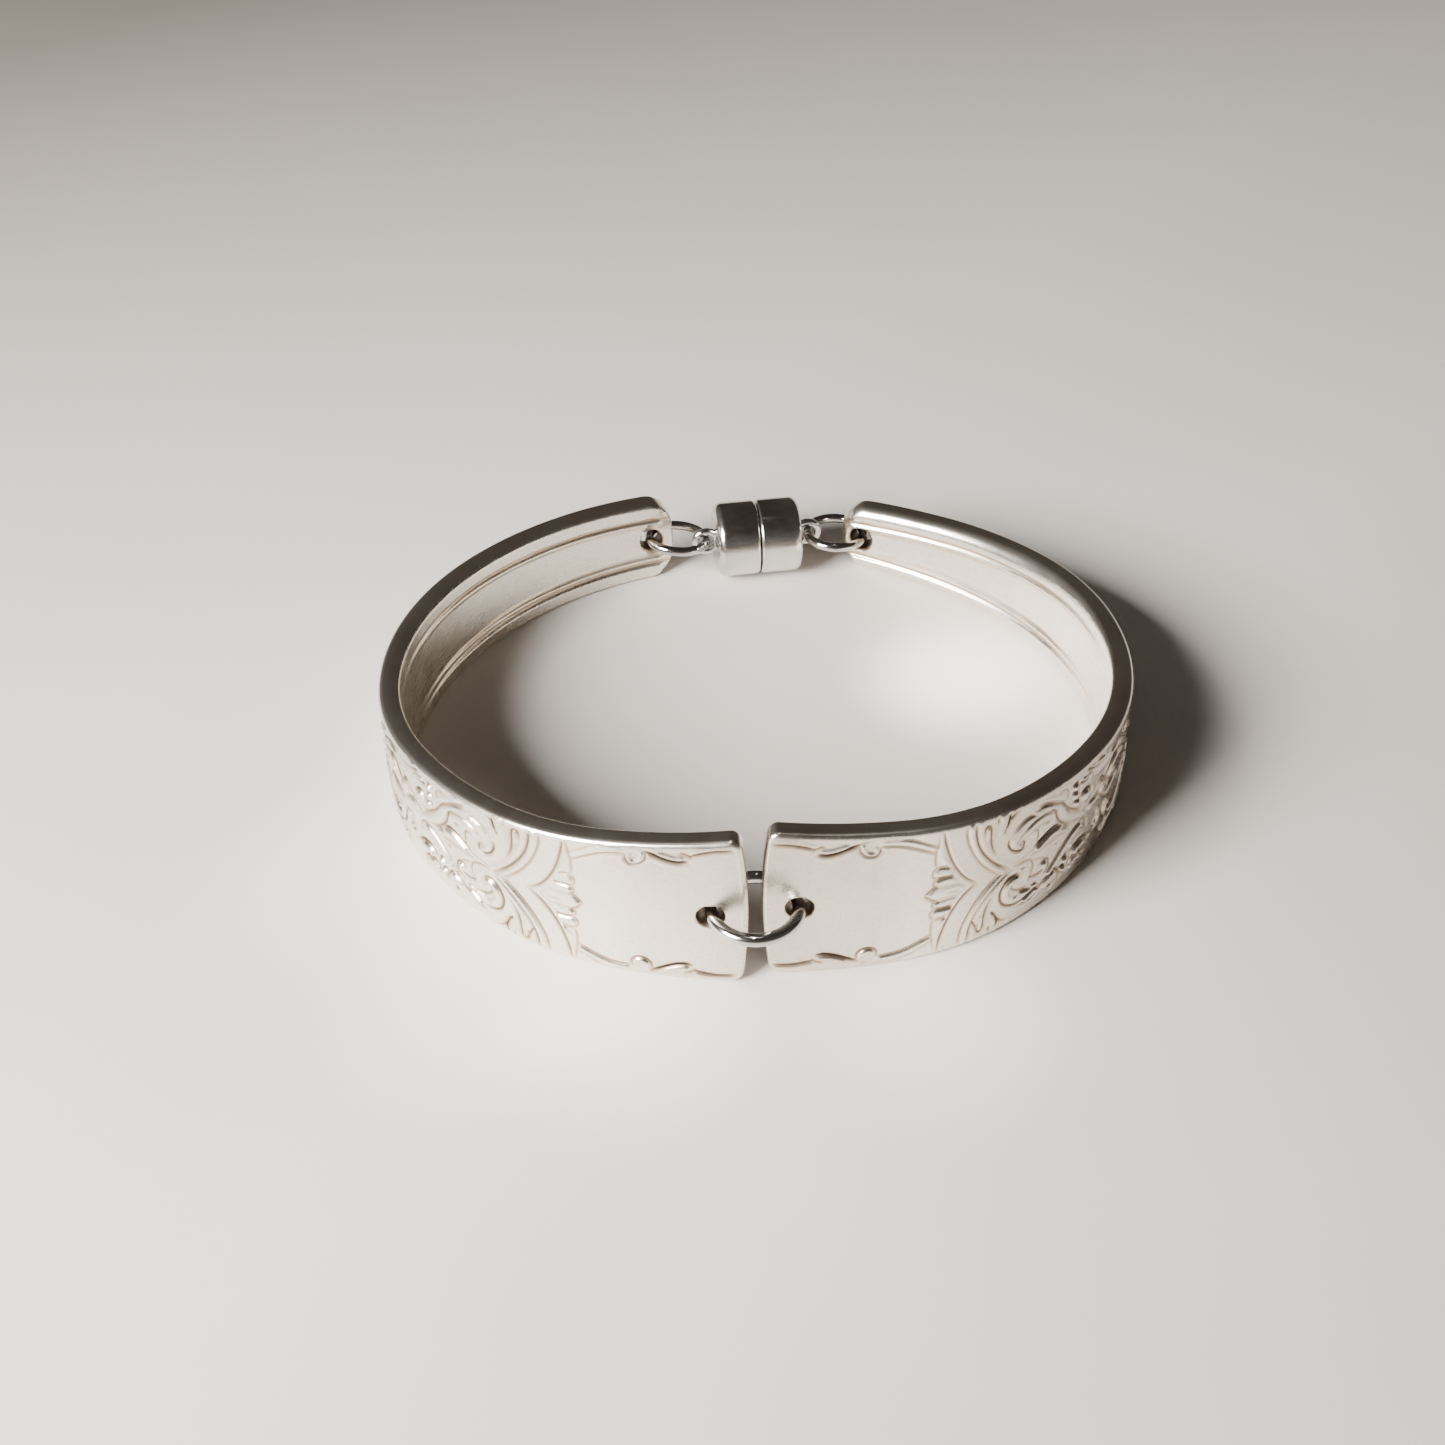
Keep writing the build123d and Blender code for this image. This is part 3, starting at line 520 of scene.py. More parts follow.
class BraceletColours(bpy.types.PropertyGroup):
    """Colours of the bracelet's finishes"""

    silver: colour_property("Silver", "Clean silver plate", (0.90, 0.845, 0.76))
    stain: colour_property("Stain", "Thin straw coloured tarnish beside the lines", (0.70, 0.565, 0.42))
    # Also the colour towards which the painted shade on the right half darkens the silver
    tarnish: colour_property("Tarnish", "Warm brown tarnish in the ornament's lines", (0.34, 0.26, 0.195))
    soot: colour_property("Dark tarnish", "Near black tarnish in the deepest lines", (0.055, 0.042, 0.034))
    wire: colour_property("Wire", "Bright steel wire of the rings", (0.66, 0.64, 0.62))
    clasp: colour_property("Clasp", "Bright plated clasp", (0.82, 0.80, 0.77))
    floor: colour_property("Floor", "Pale floor", (0.83, 0.787, 0.738))


def sizes():
    return bpy.context.scene.bracelet_sizes


def colours():
    return bpy.context.scene.bracelet_colours


def home():
    """The front ring's centre, on which both halves swing."""
    low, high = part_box("front_ring")
    return (low + high) / 2


def thickness(s, along):
    return s.front_thickness + (s.tip_thickness - s.front_thickness) * along / s.bar_length


def height(s, side, along):
    """Height of a handle, through its three driving heights."""
    share = along / s.bar_length
    tip_height = s.right_tip_height if side == "right" else s.left_tip_height
    front = s.front_height * (1 - share) * (1 - 2 * share)
    middle = s.middle_height * 4 * share * (1 - share)
    tip = tip_height * share * (2 * share - 1)
    return front + middle + tip


def open_plan(s, side, along):
    """Places and headings on the outer face in plan, before the half is closed."""
    along = np.asarray(along, float)
    x = np.zeros_like(along)
    y = np.zeros_like(along)
    heading = np.zeros_like(along)
    step = s.bar_length / len(TURNS[side])
    for number, turn in enumerate(TURNS[side]):
        bend = radians(turn) / step
        run = np.clip(along - number * step, 0.0, step)
        after = heading + bend * run
        x += (np.sin(after) - np.sin(heading)) / bend
        y += (np.cos(heading) - np.cos(after)) / bend
        heading = after
    ahead = s.right_step if side == "right" else s.left_step
    return x + s.front_gap / 2, y - ahead, heading


def closing_turn(s, side):
    """Angle that a half swings on the front ring so that its tip meets the shut clasp's ring."""
    along = s.bar_length - s.tip_hole_inset
    x, y, heading = (float(value) for value in open_plan(s, side, along))
    depth = thickness(s, along) / 2
    x -= depth * sin(heading)
    y += depth * cos(heading)
    half_span = s.clasp_length / 2 + s.eye_standoff + 2 * s.rear_ring_radius
    return asin(half_span / hypot(x, y)) - atan2(x, y)


def bent(s, side, along, depth, level):
    """Points of a handle in the bracelet: along it, inward from its outer face, and up."""
    x, y, heading = open_plan(s, side, along)
    swing = closing_turn(s, side)
    sign = SIDES[side]
    heading = heading - swing
    turned_x = x * cos(swing) + y * sin(swing)
    turned_y = y * cos(swing) - x * sin(swing)
    centre = home()
    return np.stack([
        centre.x + sign * (turned_x - np.sin(heading) * depth),
        centre.y + turned_y + np.cos(heading) * depth,
        level + np.zeros_like(turned_x),
    ], axis=-1)


def tip_hole(s, side):
    along = s.bar_length - s.tip_hole_inset
    point = bent(s, side, np.array([along]), thickness(s, along) / 2, height(s, side, along) / 2)[0]
    return Vector(point)


def curve(points, parts=8):
    """A smooth line through points, each span in parts."""
    p = np.array(points, float)
    p = np.vstack([2 * p[0] - p[1], p, 2 * p[-1] - p[-2]])
    t = np.linspace(0, 1, parts, endpoint=False)[:, None]
    spans = []
    for a, b, c, d in zip(p, p[1:], p[2:], p[3:]):
        spans.append(b + 0.5 * t * (c - a + t * (2 * a - 5 * b + 4 * c - d + t * (3 * (b - c) + d - a))))
    spans.append(p[-2:-1])
    return np.vstack(spans)


def nearest(across, up, points, reach):
    """Distance of each place to a smooth line within reach, and how far along the line it is nearest."""
    line = curve(points)
    distance = np.full(across.shape, np.inf)
    share = np.zeros(across.shape)
    low = line.min(0) - reach
    high = line.max(0) + reach
    near = (across > low[0]) & (across < high[0]) & (up > low[1]) & (up < high[1])
    px = across[near]
    py = up[near]
    best = np.full(px.shape, np.inf)
    where = np.zeros(px.shape)
    for number, (start, end) in enumerate(zip(line, line[1:])):
        run = end - start
        t = ((px - start[0]) * run[0] + (py - start[1]) * run[1]) / max(run @ run, 1e-12)
        t = np.clip(t, 0, 1)
        d = np.hypot(px - start[0] - t * run[0], py - start[1] - t * run[1])
        closer = d < best
        best[closer] = d[closer]
        where[closer] = (number + t[closer]) / (len(line) - 1)
    distance[near] = best
    share[near] = where
    return distance, share


def bell(distance, spread):
    """1 at no distance, dying out smoothly over a spread."""
    return np.exp(-((distance / spread) ** 2))


def eased(share):
    """A share from 0 to 1 that starts and ends gently."""
    return share * share * (3 - 2 * share)


def taper(share, blunt=0.18, least=0.35):
    """Narrows a stroke towards both ends."""
    ends = np.minimum(share, 1 - share) / blunt
    return least + (1 - least) * np.sqrt(np.clip(ends, 0, 1))


def on_pattern(side, along, level):
    """Places of the common pattern that lie at places of one handle, as it was struck a little apart."""
    if side == "left":
        later = np.clip((along - LEFT_FURTHER_START) / LEFT_FURTHER_LENGTH, 0, 1)
        along = along - LEFT_BACK - LEFT_FURTHER * eased(later)
        level = level / LEFT_TALLER
    return along, level


def from_middle(half, level):
    """Distance from the middle line on the side where a form is, or on both sides alike."""
    if half == "both":
        return np.abs(level)
    return level if half == "upper" else -level


def rows(table):
    """Each row of a table of lines or forms, with its half and name."""
    for half, named in table.items():
        for name, row in named.items():
            yield half, name, *row


def ornament(side, along, level):
    """Rise of the ornament, depth of its lines and spread of tarnish, at places in millimetres."""
    along, level = on_pattern(side, along, level)
    rise = np.zeros_like(along)
    for half, _, width, top, points in rows(FORMS):
        distance, share = nearest(along, from_middle(half, level), points, width)
        reach = width / 2 * taper(share)
        rise = np.maximum(rise, top * np.clip(1 - (distance / reach) ** 2, 0, 1) ** FORM_PROFILE)
    for half, radius, top, place in BEADS:
        distance = np.hypot(along - place[0], from_middle(half, level) - place[1])
        rise = np.maximum(rise, top * np.clip(1 - (distance / radius) ** 2, 0, 1))
    cut = np.zeros_like(along)
    lip = np.zeros_like(along)
    stain = np.zeros_like(along)
    for half, name, width, depth, points in rows(LINES):
        distance, share = nearest(along, from_middle(half, level), points, LINE_REACH)
        if name in STAINED:
            stain = np.maximum(stain, taper(share, STAIN_FADE, 0.0) * bell(distance, STAIN_SPREAD))
        across = (1 - SHOULDER_SHARE) * bell(distance, CORE * width)
        across += SHOULDER_SHARE * bell(distance, SHOULDER * width)
        cut = np.maximum(cut, depth * taper(share) * across)
        beside = bell(distance - LIP_PLACE * width, LIP_SPREAD * width)
        lip = np.maximum(lip, depth * taper(share) * beside)
    return RISE * rise + LIP * lip * (cut < LIP_CLEAR), CUT * cut, stain


def blurred(field, times):
    """A field smoothed over its neighbours."""
    for _ in range(times):
        padded = np.pad(field, 1, mode="edge")
        above_below = padded[:-2, 1:-1] + padded[2:, 1:-1]
        field = (field * 2 + above_below + padded[1:-1, :-2] + padded[1:-1, 2:]) / 6
    return field


class BarGrid:
    """Rows and columns that a handle is made from, with the place of each crossing on the flat handle."""

    def __init__(self, s, side):
        self.side = side
        columns = [0.0]
        for end, step in COLUMN_STRETCHES:
            start = columns[-1]
            count = max(1, round((end - start) / step))
            columns += [start + (end - start) * n / count for n in range(1, count + 1)]
        ends = np.array(columns) / columns[-1] * s.bar_length
        border = EDGE_ROWS[-1] * MM
        edge = np.array(EDGE_ROWS[:-1]) * MM
        shares = np.linspace(-1, 1, INNER_ROWS)
        half = height(s, side, ends) / 2
        self.middle = half
        rest = s.bar_length - ends
        rounded = half.copy()
        for reach, corner in ((ends, s.front_corner), (rest, s.tip_corner)):
            inside = np.clip(corner - reach, 0, corner)
            rounded = rounded - (corner - np.sqrt(corner ** 2 - inside ** 2))
        lower = -rounded[None, :] + edge[:, None]
        upper = rounded[None, :] - edge[::-1, None]
        middle = shares[:, None] * (rounded[None, :] - border)
        self.level = np.vstack([lower, middle, upper])
        bow = (self.level / half[None, :]) ** 2
        front = s.front_bulge * bow * np.clip(1 - ends / s.bow_fade, 0, 1) ** 2
        tip = s.tip_bulge * bow * np.clip(1 - rest / s.bow_fade, 0, 1) ** 2
        self.along = ends[None, :] + front - tip
        self.rows, self.columns = self.level.shape
        self.shares = np.concatenate([-np.ones(len(edge)), shares, np.ones(len(edge))])
        to_edge = half[None, :] - np.abs(self.level)
        to_end = np.minimum(ends, rest)[None, :] + 0 * self.level
        corner = np.where(ends < s.bar_length / 2, s.front_corner, s.tip_corner)[None, :]
        out = np.hypot(np.clip(corner - to_edge, 0, None), np.clip(corner - to_end, 0, None))
        both = (to_edge < corner) & (to_end < corner)
        self.to_rim = np.where(both, corner - out, np.minimum(to_edge, to_end))
        self.holes = (
            (s.front_hole_inset, -s.front_hole_drop, s.hole_radius, s.front_hole_bevel),
            (s.bar_length - s.tip_hole_inset, 0.0, s.hole_radius, s.tip_hole_bevel),
        )
        self.open = np.zeros((self.rows - 1, self.columns - 1), bool)
        for along, level, radius, bevel in self.holes:
            self.cut_hole(along, level, radius)

    def cut_hole(self, along, level, radius):
        """Leaves out the cells inside a hole and sets the crossings round it on its circle."""
        def cells(field):
            return (field[1:, 1:] + field[:-1, 1:] + field[1:, :-1] + field[:-1, :-1]) / 4
        inside = np.hypot(cells(self.along) - along, cells(self.level) - level) < radius
        self.open |= inside
        padded = np.pad(inside, 1)
        count = padded[1:, 1:].astype(int) + padded[:-1, 1:] + padded[1:, :-1] + padded[:-1, :-1]
        rim = (count > 0) & (count < 4)
        distance = np.hypot(self.along - along, self.level - level)
        self.along = np.where(rim, along + (self.along - along) / distance * radius, self.along)
        self.level = np.where(rim, level + (self.level - level) / distance * radius, self.level)

    def rounding(self, edge):
        """How far a face falls back at the rims and round the holes, for one radius at the rims."""
        d = np.clip(self.to_rim, 0, edge)
        back = edge - np.sqrt(edge ** 2 - (edge - d) ** 2)
        for along, level, radius, bevel in self.holes:
            distance = np.clip(np.hypot(self.along - along, self.level - level) - radius, 0, bevel)
            back = back + bevel - np.sqrt(bevel ** 2 - (bevel - distance) ** 2)
        return back

    def relief(self, s):
        """Rise of the outer face, and the tarnish on it."""
        rise, cut, stain = ornament(self.side, self.along / MM, self.level / MM)
        surface = rise - cut
        hollow = blurred(surface, HOLLOW_BLUR) - surface
        clear = np.clip(self.to_rim / s.outer_round - RELIEF_CLEAR, 0, 1)
        tarnish = LINE_TARNISH * np.clip(cut / LINE_DEPTH, 0, 1) ** LINE_GATHERING
        tarnish += np.clip(hollow / HOLLOW_DEPTH, 0, HOLLOW_TARNISH) + STAIN_TARNISH * stain
        return surface * MM * clear, tarnish * clear

    def drilled(self):
        """Dark tarnish inside the holes, fading just outside their mouths."""
        dark = np.zeros_like(self.level)
        for along, level, radius, bevel in self.holes:
            distance = np.hypot(self.along - along, self.level - level) - radius
            dark = np.maximum(dark, np.clip(1 - distance / bevel, 0, 1))
        return dark

    def threads(self, s):
        """Rise of the double threads on the inner face, and their tarnish."""
        grown = np.clip((self.along - s.thread_start) / s.thread_fade, 0, 1)
        from_edge = self.middle[None, :] - np.abs(self.level)
        band = np.clip((s.thread_band - from_edge) / s.thread_edge, 0, 1)
        thin = np.clip(1 - (np.abs(from_edge - s.thread_line) / (s.thread_width / 2)) ** 2, 0, 1)
        profile = np.maximum(eased(band), THIN_THREAD_SHARE * thin ** THREAD_PROFILE)
        ends = np.clip((s.bar_length - self.along - THREAD_STOP * MM) / (THREAD_STOP_LENGTH * MM), 0, 1)
        rise = s.thread_rise * profile * grown * ends
        groove = (s.thread_band + s.thread_line - s.thread_width / 2) / 2
        beyond = s.thread_line + s.thread_width / 2 + BEYOND_PLACE * MM
        tarnish = bell(from_edge - groove, BETWEEN_SPREAD * MM)
        tarnish += BEYOND_SHARE * bell(from_edge - beyond, BEYOND_SPREAD * MM)
        return rise, tarnish * grown * THREAD_TARNISH


def on_inner_sheet(z):
    """Whether a height on the flat bar is that of its inner sheet."""
    return abs(z) > 0.5


def flat_bar_mesh(grid):
    """A closed bar, its places still row and column numbers: the outer sheet at 0 and the inner one at 1."""
    bm = bmesh.new()
    bmesh.ops.create_grid(bm, x_segments=grid.columns - 1, y_segments=grid.rows - 1, size=1)
    for vert in bm.verts:
        column = round((vert.co.x + 1) / 2 * (grid.columns - 1))
        row = round((vert.co.y + 1) / 2 * (grid.rows - 1))
        vert.co = (column, row, 0)
    gone = []
    for face in bm.faces:
        column = int(min(vert.co.x for vert in face.verts))
        row = int(min(vert.co.y for vert in face.verts))
        if grid.open[row, column]:
            gone.append(face)
    bmesh.ops.delete(bm, geom=gone, context="FACES")
    bmesh.ops.solidify(bm, geom=bm.faces[:], thickness=1.0)
    kept = set()
    skipped = 0
    for row, share in enumerate(grid.shares):
        skipped += 1
        step = 2 if KEPT_SHARE < abs(share) < 1 else SKIPPED_ROWS
        if abs(share) == 1 or skipped >= step:
            kept.add(row)
            skipped = 0
    extra = []
    for edge in bm.edges:
        a, b = edge.verts
        inner = on_inner_sheet(a.co.z) and on_inner_sheet(b.co.z)
        along_row = round(a.co.y) == round(b.co.y)
        if inner and along_row and len(edge.link_faces) == 2 and round(a.co.y) not in kept:
            if all(on_inner_sheet(vert.co.z) for face in edge.link_faces for vert in face.verts):
                extra.append(edge)
    bmesh.ops.dissolve_edges(bm, edges=extra, use_verts=True, use_face_split=False)
    bmesh.ops.recalc_face_normals(bm, faces=bm.faces[:])
    return bm


def smooth_mesh(bm, name):
    """Turns a bmesh into a smooth shaded object that sits at the origin."""
    mesh = bpy.data.meshes.new(name)
    bm.to_mesh(mesh)
    bm.free()
    mesh.shade_smooth()
    piece = bpy.data.objects.new(name, mesh)
    bpy.context.scene.collection.objects.link(piece)
    return piece


def point_values(mesh, name, values):
    attribute = mesh.attributes.new(name, "FLOAT", "POINT")
    attribute.data.foreach_set("value", values.astype(np.float32))


def handle(s, side):
    """One spoon handle: a flat bar bent round, with its relief, threads, marks and map."""
    grid = BarGrid(s, side)
    bm = flat_bar_mesh(grid)
    if SIDES[side] < 0:
        bmesh.ops.reverse_faces(bm, faces=bm.faces[:])
    piece = smooth_mesh(bm, side + "_spoon_handle")
    mesh = piece.data
    co = np.zeros(len(mesh.vertices) * 3)
    mesh.vertices.foreach_get("co", co)
    co = co.reshape(-1, 3)
    column = np.rint(co[:, 0]).astype(int)
    row = np.rint(co[:, 1]).astype(int)
    inner = on_inner_sheet(co[:, 2])
    relief, tarnish = (field[row, column] for field in grid.relief(s))
    threads, between = (field[row, column] for field in grid.threads(s))
    outer_back = grid.rounding(s.outer_round)[row, column]
    tip_round = s.right_tip_round if side == "right" else s.left_tip_round
    late = np.clip((grid.along / s.bar_length - INNER_ROUND_START) / INNER_ROUND_STRETCH, 0, 1)
    inner_back = grid.rounding(s.inner_round + (tip_round - s.inner_round) * late)[row, column]
    back = np.where(inner, inner_back, outer_back)
    along = grid.along[row, column]
    level = grid.level[row, column]
    thick = thickness(s, along)
    waves = np.sin(along * UNEVEN_ALONG + UNEVEN_START) * np.cos(level * UNEVEN_UP + SIDES[side])
    uneven = UNEVEN * MM * (1 + waves)
    depth = np.where(inner, thick - back + threads, back + uneven * (back < 1e-9) - relief)
    places = bent(s, side, along, depth, grid.middle[column] + level)
    mesh.vertices.foreach_set("co", places.ravel())
    drilled = DRILLED_TARNISH * grid.drilled()[row, column]
    point_values(mesh, "tarnish", np.where(inner, between, tarnish) + drilled)
    point_values(mesh, "inner", inner.astype(float))
    point_values(mesh, "rim", np.clip(back / s.outer_round, 0, 1))
    layer = mesh.uv_layers.new(name="Bar")
    corner = np.zeros(len(mesh.loops), int)
    mesh.loops.foreach_get("vertex_index", corner)
    flat = np.stack([along[corner] / s.bar_length, level[corner] / s.bar_length + 0.5], axis=-1)
    layer.data.foreach_set("uv", flat.ravel())
    mesh.update()
    return piece


def socket(group, name, kind, direction="INPUT", default=None):
    made = group.interface.new_socket(name=name, in_out=direction, socket_type=kind)
    if default is not None:
        made.default_value = default
    return made


def node(tree, kind, **values):
    made = tree.nodes.new(kind)
    for name, value in values.items():
        setattr(made, name, value)
    return made


def mix_colour(tree, factor, a, b, blend="MIX"):
    """Mixes two colours or sockets and gives the result's socket."""
    made = node(tree, "ShaderNodeMix", data_type="RGBA", blend_type=blend)
    for index, value in ((0, factor), (6, a), (7, b)):
        if isinstance(value, bpy.types.NodeSocket):
            tree.links.new(value, made.inputs[index])
        else:
            made.inputs[index].default_value = value
    return made.outputs[2]


def maths(tree, operation, *values, clamp=False):
    made = node(tree, "ShaderNodeMath", operation=operation, use_clamp=clamp)
    for index, value in enumerate(values):
        if isinstance(value, bpy.types.NodeSocket):
            tree.links.new(value, made.inputs[index])
        else:
            made.inputs[index].default_value = value
    return made.outputs[0]


def noise(tree, vector, scale, detail, roughness=0.5):
    made = node(tree, "ShaderNodeTexNoise")
    tree.links.new(vector, made.inputs["Vector"])
    made.inputs["Scale"].default_value = scale
    made.inputs["Detail"].default_value = detail
    made.inputs["Roughness"].default_value = roughness
    return made.outputs["Fac"]


def stretched(tree, vector, scale):
    made = node(tree, "ShaderNodeMapping")
    tree.links.new(vector, made.inputs["Vector"])
    made.inputs["Scale"].default_value = scale
    return made.outputs["Vector"]


def ranged(tree, value, low, high, to_low=0.0, to_high=1.0):
    made = node(tree, "ShaderNodeMapRange", clamp=True)
    tree.links.new(value, made.inputs[0])
    for index, limit in enumerate((low, high, to_low, to_high), start=1):
        made.inputs[index].default_value = limit
    return made.outputs[0]


def cloud(tree, vector, scale, detail, roughness, low, high):
    """Mask: noise that comes out between two limits."""
    return ranged(tree, noise(tree, vector, scale, detail, roughness), low, high)


def handling_marks():
    """Group: fine scratches and smudges of handled metal, as a roughness to add and a height."""
    name = "Handling marks"
    if name in bpy.data.node_groups:
        return bpy.data.node_groups[name]
    group = bpy.data.node_groups.new(name, "ShaderNodeTree")
    socket(group, "Vector", "NodeSocketVector")
    socket(group, "Scratches", "NodeSocketFloat", default=1.0)
    socket(group, "Smudges", "NodeSocketFloat", default=1.0)
    socket(group, "Roughness", "NodeSocketFloat", "OUTPUT")
    socket(group, "Height", "NodeSocketFloat", "OUTPUT")
    start = node(group, "NodeGroupInput")
    end = node(group, "NodeGroupOutput")
    vector = start.outputs["Vector"]
    along = noise(group, stretched(group, vector, ALONG_SCRATCHES), 1.0, 2.0)
    across = noise(group, stretched(group, vector, ACROSS_SCRATCHES), 1.0, 2.0)
    smudge = noise(group, stretched(group, vector, SMUDGES), 1.0, 4.0, 0.6)
    along = maths(group, "MULTIPLY", along, ALONG_SHARE)
    lines = maths(group, "ADD", along, maths(group, "MULTIPLY", across, 1 - ALONG_SHARE))
    lines = maths(group, "MULTIPLY", maths(group, "SUBTRACT", lines, 0.5), start.outputs["Scratches"])
    patches = maths(group, "MULTIPLY", maths(group, "SUBTRACT", smudge, 0.5), start.outputs["Smudges"])
    patches = maths(group, "MULTIPLY", patches, SMUDGE_ROUGHNESS)
    rough = maths(group, "ADD", maths(group, "MULTIPLY", lines, SCRATCH_ROUGHNESS), patches)
    group.links.new(rough, end.inputs["Roughness"])
    group.links.new(lines, end.inputs["Height"])
    return group


def metal(name, roughness):
    """A material with a Principled BSDF of plain metal, and its tree and shader."""
    material = bpy.data.materials.new(name)
    material.use_nodes = True
    tree = material.node_tree
    shader = tree.nodes["Principled BSDF"]
    shader.inputs["Metallic"].default_value = 1.0
    shader.inputs["Roughness"].default_value = roughness
    return material, tree, shader


def marked(tree, shader, vector, base, scratches, smudges, deep):
    """Adds handling marks to a metal's roughness and normal, with scratches some millimetres deep."""
    marks = node(tree, "ShaderNodeGroup", node_tree=handling_marks())
    tree.links.new(vector, marks.inputs["Vector"])
    if isinstance(scratches, bpy.types.NodeSocket):
        tree.links.new(scratches, marks.inputs["Scratches"])
    else:
        marks.inputs["Scratches"].default_value = scratches
    marks.inputs["Smudges"].default_value = smudges
    rough = maths(tree, "ADD", base, marks.outputs["Roughness"], clamp=True)
    tree.links.new(rough, shader.inputs["Roughness"])
    relief = node(tree, "ShaderNodeBump")
    relief.inputs["Strength"].default_value = 0.5
    relief.inputs["Distance"].default_value = deep * MM
    tree.links.new(marks.outputs["Height"], relief.inputs["Height"])
    tree.links.new(relief.outputs["Normal"], shader.inputs["Normal"])


def added(tree, total, mask, strength):
    """A film that grows by a mask's strength."""
    return maths(tree, "ADD", total, maths(tree, "MULTIPLY", mask, strength), clamp=True)


def axes(tree, vector):
    """The first two parts of a vector."""
    parts = node(tree, "ShaderNodeSeparateXYZ")
    tree.links.new(vector, parts.inputs[0])
    return parts.outputs["X"], parts.outputs["Y"]


def marks_on(tree, name):
    return node(tree, "ShaderNodeAttribute", attribute_name=name).outputs["Fac"]


def tarnish_and_painted_shade(tree, where, place):
    """Thin uneven tarnish, more on the plain and chased stretches of the outer faces, and painted shade on
    those stretches of the right half's outer face.
    """
    along, _ = axes(tree, place)
    across, _ = axes(tree, where)
    right = ranged(tree, across, 0.0, RIGHT_SHADE_GROWTH * MM)
    outside = maths(tree, "SUBTRACT", 1.0, marks_on(tree, "inner"))
    chased = maths(tree, "SUBTRACT", ranged(tree, along, *CHASED_START), ranged(tree, along, *CHASED_END))
    film_and_shade = maths(tree, "MULTIPLY", cloud(tree, where, *VEIL_CLOUD), VEIL_FILM)
    film_and_shade = added(tree, film_and_shade, cloud(tree, where, *SPECK_CLOUD), SPECK_FILM)
    # On the right half the added strength is painted shade, for the side turned from the window
    for stretch, (least, more) in ((chased, CHASED_FILM_AND_SHADE), (ranged(tree, along, *PLAIN_FADE), PLAIN_FILM_AND_SHADE)):
        strength = maths(tree, "ADD", least, maths(tree, "MULTIPLY", right, more))
        film_and_shade = added(tree, film_and_shade, maths(tree, "MULTIPLY", stretch, outside), strength)
    return film_and_shade


def silver_material():
    """Satin silver plate: warm where it is thin, brown and then near black in the chased lines, with painted
    shade on the right half's outer face.
    """
    c = colours()
    material, tree, shader = metal("Satin silver plate", SILVER_ROUGHNESS)
    place = node(tree, "ShaderNodeUVMap", uv_map="Bar").outputs["UV"]
    where = node(tree, "ShaderNodeTexCoord").outputs["Object"]
    tarnish = marks_on(tree, "tarnish")
    rim = marks_on(tree, "rim")
    # The films and the painted shade darken the silver towards the tarnish colour
    colour = mix_colour(tree, tarnish_and_painted_shade(tree, where, place), (*c.silver, 1), (*c.tarnish, 1))
    for over, limits in ((c.stain, STAIN_RANGE), (c.tarnish, BROWN_RANGE), (c.soot, SOOT_RANGE)):
        colour = mix_colour(tree, ranged(tree, tarnish, *limits), colour, (*over, 1))
    tree.links.new(colour, shader.inputs["Base Color"])
    base = maths(tree, "ADD", SILVER_ROUGHNESS, maths(tree, "MULTIPLY", tarnish, TARNISH_ROUGHNESS))
    base = maths(tree, "SUBTRACT", base, maths(tree, "MULTIPLY", rim, RIM_POLISH))
    scratches = maths(tree, "SUBTRACT", 1.0, maths(tree, "MULTIPLY", rim, RIM_SCRATCHES_GONE))
    real_size = stretched(tree, place, (sizes().bar_length,) * 3)
    marked(tree, shader, real_size, base, scratches, SILVER_SMUDGES, SILVER_SCRATCH_DEPTH)
    return material


def clouded(tree, where, clouds, dullest, colour):
    """A colour that is a little duller between clouds of its full self."""
    dull = (*(dullest * part for part in colour), 1)
    return mix_colour(tree, cloud(tree, where, *clouds), dull, (*colour, 1))


def bright_metal(name, colour, clouds, dullest, roughness, scratches, smudges, deep):
    """A bright metal that varies a little in tone, with handling marks."""
    material, tree, shader = metal(name, roughness)
    where = node(tree, "ShaderNodeTexCoord").outputs["Object"]
    tree.links.new(clouded(tree, where, clouds, dullest, colour), shader.inputs["Base Color"])
    marked(tree, shader, where, roughness, scratches, smudges, deep)
    return material


def shades(tree, where, table, total):
    """Adds painted shades that deepen along their directions to a total."""
    x, y = axes(tree, where)
    for share_x, share_y, near, far, depth in table:
        along = maths(tree, "ADD", maths(tree, "MULTIPLY", x, share_x), maths(tree, "MULTIPLY", y, share_y))
        deeper = maths(tree, "MULTIPLY", ranged(tree, along, near * MM, far * MM), depth)
        total = maths(tree, "ADD", total, deeper)
    return total


